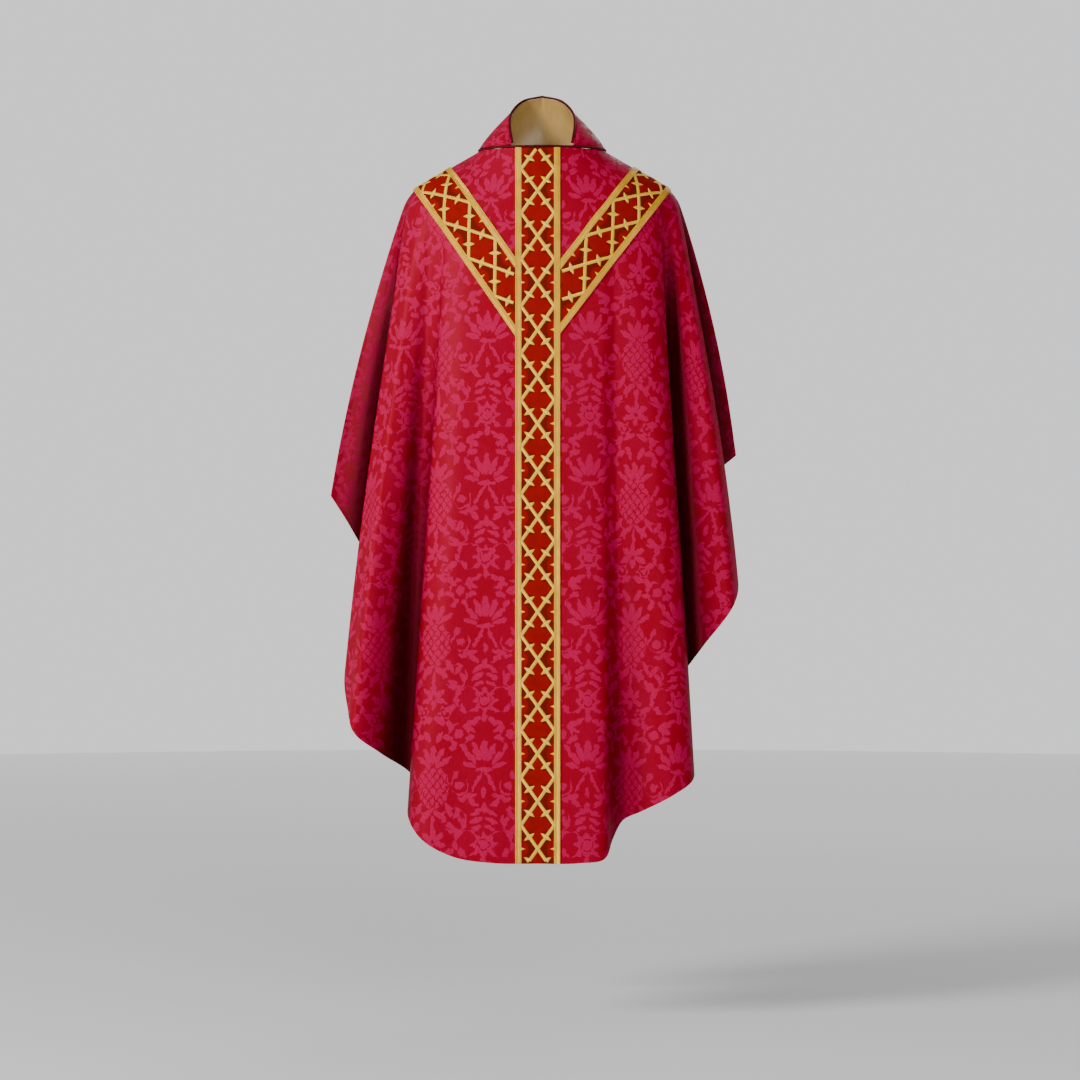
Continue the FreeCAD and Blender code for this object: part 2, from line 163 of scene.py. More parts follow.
def fall_lines(across, facing):
    """Neck, shoulder-edge and hem points of fall lines; across runs 0..1, seam to seam."""
    across, facing = np.broadcast_arrays(np.asarray(across, float), np.asarray(facing, float))
    row = through(HEM_KNOTS, FOLDS, np.clip(across, 0, 1) * HEM_KNOTS[-1])
    turn = np.radians(np.clip(row[..., 0], -90, 90))
    sine, cosine = np.sin(turn), np.cos(turn)
    shrink = 1 - (1 - np.abs(sine)) ** (SHOULDER_HALF_WIDTH / NECK_HALF_WIDTH)
    start = np.stack(
        [
            BODY_CENTRE + NECK_HALF_WIDTH * np.sign(turn) * shrink,
            facing * NECK_HALF_DEPTH * np.sqrt(np.maximum(0, 1 - shrink**2)),
            np.where(facing > 0, BACK_RISE * cosine**2, 0.0),
        ],
        axis=-1,
    )
    edge = np.stack(
        [
            BODY_CENTRE + SHOULDER_HALF_WIDTH * sine,
            facing * SHOULDER_HALF_DEPTH * cosine,
            -SHOULDER_DROP - CHEST_DROP * cosine**2,
        ],
        axis=-1,
    )
    hem = np.stack([row[..., 1], -facing * row[..., 2], row[..., 3]], axis=-1)
    return start, edge, hem, turn


def sampled(table, across, down):
    """A table of offsets over one panel, read between its entries."""
    columns, rows = table.shape[0] - 1, table.shape[1] - 1
    a, d = np.clip(across, 0, 1) * columns, np.clip(down, 0, 1) * rows
    i, j = np.minimum(a.astype(int), columns - 1), np.minimum(d.astype(int), rows - 1)
    p, q = (a - i)[..., None], (d - j)[..., None]
    p, q = p * p * (3 - 2 * p), q * q * (3 - 2 * q)
    upper = table[i, j] * (1 - p) + table[i + 1, j] * p
    lower = table[i, j + 1] * (1 - p) + table[i + 1, j + 1] * p
    return upper * (1 - q) + lower * q


def ripple(across, down, facing):
    """Soft uneven creases that run down the falling cloth, a few millimetres deep."""
    fade = np.sin(np.pi * np.clip(across, 0, 1)) ** 0.5
    fall = np.clip((down - 0.12) / 0.5, 0, 1)
    side = 1.7 * np.asarray(facing)
    depth = 0.0
    for height, *waves in CREASES:
        first, second = (np.sin(a * across + d * down + f * side + start) for a, d, f, start in waves)
        depth = depth + height * first * second
    return fade * fall * depth


def cloth(across, down, facing):
    """Places on the cloth's middle surface; down runs 0..1 from the neck ring to the hem."""
    across, down, facing = np.broadcast_arrays(*(np.asarray(v, float) for v in (across, down, facing)))
    start, edge, hem, turn = fall_lines(across, facing)
    over, hang = size_of(edge - start), size_of(hem - edge)
    first, second = (edge - start) / over, (hem - edge) / hang
    travelled = down[..., None] * (over + hang)
    round_off = np.minimum(ROUND_OFF + ROUND_OFF_MORE * np.cos(turn)[..., None] ** 2, 0.8 * over)
    s = np.clip((travelled - over + round_off) / (2 * round_off), 0, 1)
    corner = (edge - first * round_off) * (1 - s) ** 2 + edge * (2 * s * (1 - s))
    corner = corner + (edge + second * round_off) * s**2
    straight = np.where(travelled < over, start + first * travelled, edge + second * (travelled - over))
    place = np.where(np.abs(travelled - over) < round_off, corner, straight)
    hung = np.clip((travelled - over) / hang, 0, 1)[..., 0]
    place[..., 0] += np.sign(turn) * SEAM_BOW * hung * (1 - hung) * np.abs(np.sin(turn)) ** 6
    place[..., 1] += facing * (SEAM_GAP + ripple(across, down, facing))
    for side, table in SETTLED.items():
        place += np.where((facing == side)[..., None], sampled(table, across, down), 0.0)
    return place


def outward(across, down, facing):
    """Unit normals of the cloth, away from the wearer."""
    low_a, high_a = np.maximum(across - STEP, 0), np.minimum(across + STEP, 1)
    low_d, high_d = np.maximum(down - STEP, 0), np.minimum(down + STEP, 1)
    along = cloth(high_a, down, facing) - cloth(low_a, down, facing)
    fall = cloth(across, high_d, facing) - cloth(across, low_d, facing)
    normal = np.cross(along, fall) * np.asarray(facing)[..., None]
    return normal / size_of(normal)


def fall_length(across, facing):
    start, edge, hem, _ = fall_lines(across, facing)
    return (size_of(edge - start) + size_of(hem - edge))[..., 0]


MIDDLE = (0.3, 0.7)            # the centre line lies between these across values
NEAR_MIDDLE = np.linspace(*MIDDLE, 401)
CENTRE_LINE = np.interp(0.0, cloth(NEAR_MIDDLE, 0.5, FRONT)[:, 0], NEAR_MIDDLE)


def cut_flat(facing, count=241):
    """The flat cut of a panel: where the neck and hem ends of its fall lines lie on the table."""
    across = np.linspace(0, 1, count)
    start, edge, hem, _ = fall_lines(across, facing)
    over, hang = size_of(edge - start)[:, 0], size_of(hem - edge)[:, 0]
    middle = int(round(CENTRE_LINE * (count - 1)))
    bend, end = np.zeros((count, 2)), np.zeros((count, 2))
    bend[middle, 1], end[middle, 1] = -over[middle], -over[middle] - hang[middle]

    def apex(a, b, from_a, from_b, way):
        line = b - a
        span = np.linalg.norm(line)
        line = line / span
        x = (from_a**2 - from_b**2 + span**2) / (2 * span)
        y = math.sqrt(max(0.0, from_a**2 - x**2))
        return a + line * x + np.array([-line[1], line[0]]) * y * way

    for way, stop in ((1, count), (-1, -1)):
        for i in range(middle + way, stop, way):
            j = i - way
            reach = np.linalg.norm(hem[i] - edge[j])
            end[i] = apex(bend[j], end[j], reach, np.linalg.norm(hem[i] - hem[j]), way)
            bend[i] = apex(bend[j], end[i], np.linalg.norm(edge[i] - edge[j]), hang[i], way)
    top = bend + (bend - end) / hang[:, None] * over[:, None]
    return across, top, end


def on_the_cut(cut, across, down):
    """Flat places, in mm, of spots on a panel."""
    lines, *ends = cut
    top, end = (np.stack([np.interp(across, lines, line[:, k]) for k in (0, 1)], -1) for line in ends)
    return top * (1 - down)[..., None] + end * down[..., None]


# ---------------------------------------------------------------- meshes of thin cloth
SMOOTH_ANGLE = math.radians(50)


def new_piece(name, places, faces, uvs, material, node):
    """A mesh in the row frame, with its finish, its body and the node that it stands for."""
    mesh = bpy.data.meshes.new(name)
    mesh.vertices.add(len(places))
    mesh.vertices.foreach_set("co", (np.asarray(places) * MM).ravel().astype(np.float32))
    sizes = np.array([len(face) for face in faces])
    loops = np.concatenate(list(faces))
    mesh.loops.add(len(loops))
    mesh.loops.foreach_set("vertex_index", loops.astype(np.int32))
    mesh.polygons.add(len(sizes))
    mesh.polygons.foreach_set("loop_start", (np.cumsum(sizes) - sizes).astype(np.int32))
    mesh.update(calc_edges=True)
    layer = mesh.uv_layers.new(name="cloth_mm")
    layer.data.foreach_set("uv", (np.asarray(uvs)[loops] * MM).ravel().astype(np.float32))
    mesh.materials.append(material)
    mesh.validate()
    piece = bpy.data.objects.new(name, mesh)
    bpy.context.scene.collection.objects.link(piece)
    bpy.ops.object.select_all(action="DESELECT")
    bpy.context.view_layer.objects.active = piece
    piece.select_set(True)
    bpy.ops.object.shade_smooth_by_angle(angle=SMOOTH_ANGLE)
    bpy.ops.object.select_all(action="DESELECT")
    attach(piece, "root")
    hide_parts(node)
    return piece


def thin_faces(columns, rows, offset=0, turned=False):
    """Quads of a closed thin sheet of two grids, the outer one first, each columns by rows."""
    corner = np.arange(columns * rows).reshape(columns, rows)
    a, b, c, d = corner[:-1, :-1], corner[:-1, 1:], corner[1:, 1:], corner[1:, :-1]
    outer = np.stack([a, b, c, d], axis=-1).reshape(-1, 4)
    parts = [outer, outer[:, ::-1] + columns * rows]
    for line, flip in ((corner[:, 0], 1), (corner[:, -1], -1), (corner[0], -1), (corner[-1], 1)):
        wall = [line[:-1], line[1:], line[1:] + columns * rows, line[:-1] + columns * rows]
        parts.append(np.stack(wall, -1)[:, ::flip])
    faces = np.concatenate(parts)
    return (faces[:, ::-1] if turned else faces) + offset


def thin_piece(name, outer, inner, flat, material, node):
    """A closed thin sheet between two grids of places, each of columns by rows."""
    columns, rows = outer.shape[:2]
    i, j = columns // 2, rows // 2
    side, along = outer[i, j - 1] - outer[i, j], outer[i - 1, j] - outer[i, j]
    turned = float(np.dot(np.cross(along, side), (outer - inner)[i, j])) > 0
    places = np.concatenate([outer.reshape(-1, 3), inner.reshape(-1, 3)])
    uvs = np.concatenate([flat.reshape(-1, 2)] * 2)
    return new_piece(name, places, thin_faces(columns, rows, turned=turned), uvs, material, node)


# ---------------------------------------------------------------- places along a band
class Band:
    """An orphrey: along runs down or over it, across from edge to edge, both in mm."""

    def spots(self, along, across_mm):
        """(across, down, facing) on the cloth."""
        raise NotImplementedError

    def raised(self, along, across_mm, height):
        spot = self.spots(along, across_mm)
        return cloth(*spot) + outward(*spot) * np.asarray(height, float)[..., None]


class Pillar(Band):
    """The upright orphrey of one panel."""

    def __init__(self, facing):
        self.facing = facing
        self.length = float(fall_length(CENTRE_LINE, facing))
        self.crossing = 0.0

    def start(self, across_mm):
        return np.full(np.shape(across_mm), 0.5)

    def end(self, across_mm):
        return np.full(np.shape(across_mm), self.length - 0.5)

    def spots(self, along, across_mm):
        along, across_mm = np.broadcast_arrays(np.asarray(along, float), np.asarray(across_mm, float))
        down = along / self.length
        low, high = (np.full(down.shape, limit) for limit in MIDDLE)
        for _ in range(26):
            middle = (low + high) / 2
            beyond = cloth(middle, down, self.facing)[..., 0] > across_mm
            low, high = np.where(beyond, low, middle), np.where(beyond, middle, high)
        return (low + high) / 2, down, np.full(down.shape, self.facing)


ARM_LOW = 266.0                # an arm's centre line meets the pillar this far below the neck ring
ARM_HIGH = 49.0                # crosses the shoulder seam this far below it
ARM_REACH = 196.0              # and this far from the middle of the body
ARM_GAP = 0.4                  # air between an arm and the pillar
ARM_LINES = 27                 # lines of the table across an arm, the middle one on its centre line
ARM_MIDDLE = ARM_LINES // 2


class Arm(Band):
    """One arm of the Y, from the front pillar over the shoulder to the back pillar."""

    def __init__(self, hand, band_width):
        self.hand = hand
        self.margin = band_width / 2 + ARM_GAP
        start_x = hand * self.margin
        slope = (ARM_LOW - ARM_HIGH) / (BODY_CENTRE + hand * ARM_REACH - start_x)
        seam = 1.0 if hand > 0 else 0.0
        lines = []
        for facing in (FRONT, BACK):
            across = np.linspace(CENTRE_LINE, seam, 80)
            low, high = np.full(80, 0.02), np.full(80, 0.5)
            for _ in range(30):
                down = (low + high) / 2
                place = cloth(across, down, facing)
                under = place[:, 2] + ARM_LOW - slope * (place[:, 0] - start_x) < 0
                low, high = np.where(under, low, down), np.where(under, down, high)
            extended = across if facing < 0 else (2 - across if hand > 0 else -across)
            lines.append(np.stack([extended, down], axis=-1))
        middle = np.concatenate([lines[0], lines[1][-2::-1]])
        run = np.concatenate([[0], np.cumsum(size_of(np.diff(self.places(middle), axis=0))[:, 0])])
        self.crossing = run[79]
        self.offsets = np.linspace(-band_width / 2, band_width / 2, ARM_LINES)
        count = int(run[-1] / 4) | 1
        self.run = np.linspace(0, run[-1], count)
        line = np.stack([np.interp(self.run, run, middle[:, k]) for k in (0, 1)], axis=-1)
        self.table = np.empty((count, ARM_LINES, 2))
        self.table[:, ARM_MIDDLE] = line
        ahead = np.gradient(self.places(line), axis=0)
        ahead /= size_of(ahead)
        for way in (1, -1):
            place = line.copy()
            direction = np.cross(self.normals(place), ahead) * -hand * way
            for k in range(1, ARM_MIDDLE + 1):
                for _ in range(2):
                    normal = self.normals(place)
                    direction -= normal * np.sum(direction * normal, -1, keepdims=True)
                    direction /= size_of(direction)
                    place = self.stepped(place, direction * band_width / (4 * ARM_MIDDLE))
                self.table[:, ARM_MIDDLE + way * k] = place
        x = self.places(self.table)[..., 0] * hand - self.margin
        half = count // 2
        self.starts = [np.interp(0, x[:half, k], self.run[:half]) for k in range(ARM_LINES)]
        self.ends = [np.interp(0, -x[half:, k], self.run[half:]) for k in range(ARM_LINES)]

    @staticmethod
    def spot(extended):
        """Beyond either seam the extended across value carries on over the back."""
        a = extended[..., 0]
        behind = (a > 1) | (a < 0)
        return np.where(a > 1, 2 - a, np.abs(a)), extended[..., 1], np.where(behind, BACK, FRONT)

    def places(self, extended):
        return cloth(*self.spot(extended))

    def normals(self, extended):
        return outward(*self.spot(extended))

    def stepped(self, extended, change):
        step = 1e-4
        here = self.places(extended)
        by_a = (self.places(extended + (step, 0)) - here) / step
        by_d = (self.places(extended + (0, step)) - here) / step
        a, b, c = (np.sum(u * v, -1) for u, v in ((by_a, by_a), (by_a, by_d), (by_d, by_d)))
        p, q = np.sum(change * by_a, -1), np.sum(change * by_d, -1)
        det = a * c - b * b
        return extended + np.stack([(p * c - q * b) / det, (q * a - p * b) / det], axis=-1)

    def start(self, across_mm):
        return np.interp(across_mm, self.offsets, self.starts)

    def end(self, across_mm):
        return np.interp(across_mm, self.offsets, self.ends)

    def spots(self, along, across_mm):
        along, across_mm = np.broadcast_arrays(np.asarray(along, float), np.asarray(across_mm, float))
        i = np.clip(along / self.run[1], 0, len(self.run) - 1.001)
        k = np.clip((across_mm - self.offsets[0]) / (self.offsets[1] - self.offsets[0]), 0, ARM_LINES - 1.001)
        i0, k0 = i.astype(int), k.astype(int)
        p, q = (i - i0)[..., None], (k - k0)[..., None]
        t = self.table
        upper = t[i0, k0] * (1 - p) + t[i0 + 1, k0] * p
        lower = t[i0, k0 + 1] * (1 - p) + t[i0 + 1, k0 + 1] * p
        return self.spot(upper * (1 - q) + lower * q)


# ---------------------------------------------------------------- materials
def linear(colour):
    """An sRGB hex colour as linear red, green, blue and alpha."""
    parts = [int(colour[k : k + 2], 16) / 255 for k in (1, 3, 5)]
    return [v / 12.92 if v <= 0.04045 else ((v + 0.055) / 1.055) ** 2.4 for v in parts] + [1.0]


def add(tree, kind, *inputs, out=0, **named):
    """Adds one shader node and gives one of its outputs.

    Inputs are values, or the outputs that feed them, in the order in which the node shows them
    or by name. Other named values are the node's settings.
    """
    node = tree.nodes.new("ShaderNode" + kind)
    for name, value in named.items():
        if name not in node.inputs:
            setattr(node, name, value)
    fed = list(zip([socket for socket in node.inputs if socket.enabled], inputs))
    fed += [(node.inputs[name], value) for name, value in named.items() if name in node.inputs]
    for socket, value in fed:
        if isinstance(value, bpy.types.NodeSocket):
            tree.links.new(value, socket)
        else:
            socket.default_value = value
    return node.outputs[out] if isinstance(out, str) else [s for s in node.outputs if s.enabled][out]


FLAT_NOISE = {"noise_dimensions": "2D"}
DYE = {"data_type": "RGBA"}            # a mix of two colours


def start_material(name):
    """An empty material, and the cloth's own flat places in mm."""
    material = bpy.data.materials.new(name)
    material.use_nodes = True
    tree = material.node_tree
    flat = add(tree, "VectorMath", add(tree, "UVMap", uv_map="cloth_mm"), 1 / MM, operation="SCALE")
    return material, tree, flat


def finished(material, colour, height, depth, strength, **values):
    """Ends a material: its colour, its relief with a depth in metres, and the shader's own values."""
    tree = material.node_tree
    shader = tree.nodes["Principled BSDF"]
    values["Base_Color"] = colour
    values["Normal"] = add(tree, "Bump", Height=height, Distance=depth, Strength=strength)
    for name, value in values.items():
        socket = shader.inputs[name.replace("_", " ")]
        if isinstance(value, bpy.types.NodeSocket):
            tree.links.new(value, socket)
        else:
            socket.default_value = value
    return material


def oval_reach(tree, cell, ovals):
    """How far a place lies from the nearest oval: 0 at the oval's middle and 1 on its edge."""
    nearest = None
    for across, up, tilt, half_long, half_wide in ovals:
        place = add(
            tree, "Mapping", cell, (across, up, 0), (0, 0, math.radians(tilt)), (half_long, half_wide, 1),
            vector_type="TEXTURE",
        )
        reach = add(tree, "VectorMath", place, operation="LENGTH")
        nearest = add(tree, "Math", nearest, reach, operation="MINIMUM") if nearest else reach
    return nearest


# Figures of the damask in one half repeat, mirrored at both sides, all in mm.
# Each row: place across and up, tilt in degrees, half length and half width of a leaf or petal.
REPEAT_WIDTH = 90.0
REPEAT_HEIGHT = 250.0
LEAVES = [
    # a fan of petals over two splayed stems, on the line at 90 mm
    (90, 186, 90, 19, 6.5), (77, 183, 112, 17, 5.5), (67, 173, 136, 15, 5), (64, 160, 165, 13, 4.4),
    (90, 152, 0, 15, 4.2), (78, 131, 62, 20, 3.4), (64, 106, 12, 12, 5), (70, 95, 140, 11, 4.6),
    (90, 114, 90, 9, 4), (50, 100, 160, 8, 3.4),
    # a pair of leaf sprays under the fan
    (90, 86, 90, 10, 4.5), (78, 78, 32, 13, 4.4), (77, 64, 28, 12, 4.2), (79, 51, 24, 10, 3.8),
    # crown of leaves and foot leaves of the netted fruit, on the line at 0
    (0, 178, 90, 15, 5.5), (11, 174, 62, 15, 5), (21, 166, 36, 14, 4.4), (13, 71, 140, 15, 5.4),
    (28, 82, 118, 13, 4.8), (0, 60, 90, 13, 3.6),
    # a small five-leaved flower under it
    (0, 40, 90, 11, 5), (11, 34, 40, 11, 5), (13, 21, -20, 11, 4.8), (0, 14, 90, 9, 4.6),
    # round fruits and leaves on the curling stems between
    (45, 214, 0, 8.5, 8), (30, 229, 128, 10, 5.4), (61, 230, 50, 10, 5.4), (26, 207, 170, 9, 5),
    (64, 207, 10, 9, 5), (36, 192, 60, 9, 4.6), (54, 190, 120, 9, 4.6), (11, 208, 64, 12, 4.6),
    (47, 124, 0, 7.5, 7), (40, 142, 70, 9, 4.6), (43, 76, 60, 11, 5), (52, 62, 120, 10, 4.8),
    (34, 52, 150, 11, 5), (44, 38, 80, 10, 5), (30, 8, 30, 10, 4.8), (12, 236, 150, 11, 4.8),
    (52, 8, 120, 9, 4.4), (30, 258, 30, 10, 4.8), (52, 258, 120, 9, 4.4), (12, -14, 150, 11, 4.8),
    (90, 243, 90, 8, 5), (74, 236, 35, 11, 4.6), (68, 222, 150, 8, 4),
]
STEMS = [(45, 214, 17.5), (47, 124, 15.5), (38, 64, 21), (62, 24, 22)]    # across, up, radius
FLOWERS = [(90, 22, 8, 23), (20, 250, 6, 13), (20, 0, 6, 13)]            # and petals before radius
NETTED_FRUIT = [(0, 122, 0, 29, 41)]
NET_MESH = 7.0                 # half a mesh of the net, whose lines are 1.3 mm to each side
VEIN_GAP = 3.4


def damask(name, ground, figure, deep, fold_shade_colour):
    """Silk damask: a satin ground that shines, and a matte woven figure that reads lighter; painted shade
    darkens its colour deep inside the folds.
    """
    material, tree, flat = start_material(name)
    # the figures wander by a few millimetres, so no two repeats are quite alike
    wander = add(tree, "TexNoise", flat, out=1, Scale=0.11, Detail=1.5, **FLAT_NOISE)
    wander = add(tree, "VectorMath", wander, (0.5, 0.5, 0.5), operation="SUBTRACT")
    wander = add(tree, "VectorMath", wander, 9.0, operation="SCALE")
    bent = add(tree, "VectorMath", flat, wander, operation="ADD")
    x, y, _ = add(tree, "SeparateXYZ", bent).node.outputs
    x = add(tree, "Math", x, REPEAT_WIDTH, operation="PINGPONG")
    y = add(tree, "Math", y, REPEAT_HEIGHT, operation="FLOORED_MODULO")
    cell = add(tree, "CombineXYZ", x, y)
    leaf = oval_reach(tree, cell, LEAVES)
    leaf = add(tree, "Math", leaf, -9.0, 9.5, operation="MULTIPLY_ADD", use_clamp=True)

    def away_from(across, up):
        away = add(tree, "VectorMath", cell, (across, up, 0), operation="SUBTRACT")
        return away, add(tree, "VectorMath", away, operation="LENGTH")

    def ring_of(reach, radius):
        return add(tree, "Math", add(tree, "Math", reach, radius, operation="SUBTRACT"), operation="ABSOLUTE")

    stem = None
    for across, up, radius in STEMS:
        ring = ring_of(away_from(across, up)[1], radius)
        stem = add(tree, "Math", stem, ring, operation="MINIMUM") if stem else ring
    # the stems are about 3 mm wide and broken where the leaves leave them
    breaks = add(tree, "TexNoise", cell, Scale=0.07, Detail=0.0, **FLAT_NOISE)
    breaks = add(tree, "Math", breaks, 8.0, -2.4, operation="MULTIPLY_ADD")
    stem = add(tree, "Math", stem, breaks, operation="LESS_THAN")
    figures = add(tree, "Math", leaf, stem, operation="MAXIMUM")

    for across, up, petals, radius in FLOWERS:
        away, reach = away_from(across, up)
        away = add(tree, "SeparateXYZ", away).node.outputs
        angle = add(tree, "Math", away[1], away[0], operation="ARCTAN2")
        angle = add(tree, "Math", angle, float(petals), operation="MULTIPLY")
        lobes = add(tree, "Math", angle, operation="COSINE")
        edge = add(tree, "Math", lobes, radius * 0.16, radius * 0.84, operation="MULTIPLY_ADD")
        inside = add(tree, "Math", reach, edge, operation="LESS_THAN")
        eye = add(tree, "Math", ring_of(reach, radius * 0.42), 1.7, operation="GREATER_THAN")
        inside = add(tree, "Math", inside, eye, operation="MULTIPLY")
        figures = add(tree, "Math", figures, inside, operation="MAXIMUM")

    # the netted fruit: an oval crossed by a diagonal net
    inside = add(tree, "Math", oval_reach(tree, cell, NETTED_FRUIT), 1.0, operation="LESS_THAN")
    for sign in (1.0, -1.0):
        slant = add(tree, "Math", y, 0.8, operation="MULTIPLY")
        slant = add(tree, "Math", x, sign, slant, operation="MULTIPLY_ADD")
        slant = add(tree, "Math", slant, NET_MESH, operation="PINGPONG")
        line = add(tree, "Math", slant, 1.3, operation="GREATER_THAN")
        inside = add(tree, "Math", inside, line, operation="MULTIPLY")
    figures = add(tree, "Math", figures, inside, operation="MAXIMUM")

    # fine veins, and threads that show here and there in both weaves
    vein = add(tree, "Math", x, 0.7, y, operation="MULTIPLY_ADD")
    vein = add(tree, "Math", vein, VEIN_GAP, operation="PINGPONG")
    vein = add(tree, "Math", vein, 0.5, operation="LESS_THAN")
    vein = add(tree, "Math", vein, -0.35, 1.0, operation="MULTIPLY_ADD")
    figures = add(tree, "Math", figures, vein, operation="MULTIPLY")
    threads = add(tree, "Mapping", flat, Scale=(0.55, 0.06, 1))
    threads = add(tree, "TexNoise", threads, Scale=1.0, Detail=2.0, **FLAT_NOISE)
    broad = add(tree, "TexNoise", flat, Scale=0.012, Detail=2.0, **FLAT_NOISE)
    tone = add(tree, "Math", threads, 0.5, -0.35, operation="MULTIPLY_ADD")
    tone = add(tree, "Math", broad, 0.6, tone, operation="MULTIPLY_ADD", use_clamp=True)
    colour = add(tree, "Mix", tone, linear(deep), linear(ground), **DYE)
    share = add(tree, "Math", threads, 0.5, 0.68, operation="MULTIPLY_ADD", use_clamp=True)
    share = add(tree, "Math", figures, share, operation="MULTIPLY")
    colour = add(tree, "Mix", share, colour, linear(figure), **DYE)
    # painted shade: deep inside the folds the colour is darkened, by how hidden each place is in its fold
    painted_fold_shade = add(tree, "Attribute", attribute_name="painted_fold_shade", out="Fac")
    colour = add(tree, "Mix", painted_fold_shade, colour, linear(fold_shade_colour), **DYE)
    rough = add(tree, "Math", figures, 0.2, 0.4, operation="MULTIPLY_ADD")
    # the real weave is about 0.4 mm; it is drawn at 2 mm so that it can show
    weave = add(tree, "TexWave", flat, bands_direction="Y", out=1, Scale=0.16, Distortion=2.0, Detail=1.0)
    weave = add(tree, "Math", weave, 0.4, operation="MULTIPLY")
    grain = add(tree, "Math", threads, 0.6, weave, operation="MULTIPLY_ADD")
    # silk is dyed through, so its shine is faint and takes the colour of the thread
    tint = linear("#ff6f8f")
    return finished(
        material, colour, grain, 0.0005, 0.45, Roughness=rough, Specular_IOR_Level=0.16, Specular_Tint=tint
    )


HALF_DIAMOND = 41.15           # half the length of one diamond of the lattice
LOBES = [(11, 0, 0, 11.5, 11.5), (0, 15, 0, 8.5, 18), (29, 41, 0, 13, 15), (27, 28, 0, 4, 5)]


def brocade(name, field, bright, dark):
    """Velvet orphrey: a deep red pile, brighter in four lobes inside each diamond of the lattice; the darker
    field round the lobes, by the raised gold bars, is partly painted shade.
    """
    material, tree, flat = start_material(name)
    x, y, _ = add(tree, "SeparateXYZ", flat).node.outputs
    x = add(tree, "Math", x, operation="ABSOLUTE")
    y = add(tree, "Math", y, HALF_DIAMOND, operation="PINGPONG")
    y = add(tree, "Math", HALF_DIAMOND, y, operation="SUBTRACT")
    lobe = oval_reach(tree, add(tree, "CombineXYZ", x, y), LOBES)
    lobe = add(tree, "Math", lobe, -5.0, 5.5, operation="MULTIPLY_ADD", use_clamp=True)
    pile = add(tree, "TexNoise", flat, Scale=0.9, Detail=3.0, **FLAT_NOISE)
    patch = add(tree, "TexNoise", flat, Scale=0.05, Detail=1.0, **FLAT_NOISE)
    patch = add(tree, "Math", patch, 0.7, 0.5, operation="MULTIPLY_ADD", use_clamp=True)
    colour = add(tree, "Mix", pile, linear(dark), linear(field), **DYE)
    # partly painted shade: outside the lobes, near the raised bars, the field stays darker than the lobes; the
    # pile noise is uneven tone
    share = add(tree, "Math", lobe, patch, operation="MULTIPLY")
    colour = add(tree, "Mix", share, colour, linear(bright), **DYE)
    height = add(tree, "Math", pile, 0.6, lobe, operation="MULTIPLY_ADD")
    return finished(
        material, colour, height, 0.0005, 0.5, Roughness=0.82, Specular_IOR_Level=0.1,
        Sheen_Weight=0.06, Sheen_Roughness=0.35, Sheen_Tint=linear("#c8402c"),
    )


GALLOON_MIDDLE = 33.75         # both galloons of a band have their middle this far from its centre line
RIB_GAP = 1.2
GALLOON_EDGE = 3.9             # the corded edge of the galloon begins this far from its middle


def braid(name, light, shade):
    """Woven gold galloon: metallic threads in a herring-bone, with a corded edge each side; its colour runs
    from a lit to a shaded gold, with painted light on the rib crests and corded edges and painted shade in the
    groove, over uneven thread.
    """
    material, tree, flat = start_material(name)
    x, y, _ = add(tree, "SeparateXYZ", flat).node.outputs
    side = add(tree, "Math", x, operation="ABSOLUTE")
    side = add(tree, "Math", side, GALLOON_MIDDLE, operation="SUBTRACT")
    side = add(tree, "Math", side, operation="ABSOLUTE")
    rib = add(tree, "Math", side, 0.9, y, operation="MULTIPLY_ADD")
    rib = add(tree, "Math", rib, RIB_GAP, operation="PINGPONG")
    rib = add(tree, "Math", rib, RIB_GAP, operation="DIVIDE")
    cord = add(tree, "Math", side, GALLOON_EDGE, operation="GREATER_THAN")
    groove = add(tree, "Math", side, 3.7, 0.35, operation="COMPARE")
    thread = add(tree, "TexNoise", flat, Scale=0.7, Detail=3.0, **FLAT_NOISE)
    patch = add(tree, "TexNoise", flat, Scale=0.04, Detail=1.0, **FLAT_NOISE)
    patch = add(tree, "Math", patch, 0.5, operation="SUBTRACT")
    tone = add(tree, "Math", thread, 0.5, operation="MULTIPLY")
    # painted light and shade: rib crests and corded edges lighter, the groove darker; the thread and patch
    # noise is uneven tone
    for part, share in ((rib, 0.45), (cord, 0.25), (patch, 0.5)):
        tone = add(tree, "Math", part, share, tone, operation="MULTIPLY_ADD")
    tone = add(tree, "Math", groove, -0.35, tone, operation="MULTIPLY_ADD", use_clamp=True)
    height = add(tree, "Math", groove, -0.8, rib, operation="MULTIPLY_ADD")
    height = add(tree, "Math", cord, 0.7, height, operation="MULTIPLY_ADD")
    colour = add(tree, "Mix", tone, linear(shade), linear(light), **DYE)
    return finished(material, colour, height, 0.0007, 0.7, Metallic=0.25, Roughness=0.42)


def gold_thread(name, light, shade):
    """Satin-stitched gold thread: fine stitches side by side across each bar of the lattice, painted lighter
    on each stitch's crest and darker between stitches, over uneven thread.
    """
    material, tree, flat = start_material(name)
    # the stitches are 0.4 mm threads, drawn 1.3 mm apart so that they can show
    half_stitch = 0.65
    stitch = add(tree, "SeparateXYZ", flat, out=1)
    for operation in ("PINGPONG", "DIVIDE"):
        stitch = add(tree, "Math", stitch, half_stitch, operation=operation)
    thread = add(tree, "TexNoise", flat, Scale=0.5, Detail=3.0, **FLAT_NOISE)
    thread = add(tree, "Math", thread, 0.7, operation="MULTIPLY")
    # painted light and shade: each stitch lighter on its crest and darker where it meets the next; the noise
    # is uneven thread
    tone = add(tree, "Math", stitch, 0.4, thread, operation="MULTIPLY_ADD", use_clamp=True)
    colour = add(tree, "Mix", tone, linear(shade), linear(light), **DYE)
    return finished(material, colour, stitch, 0.0004, 0.7, Metallic=0.2, Roughness=0.4)


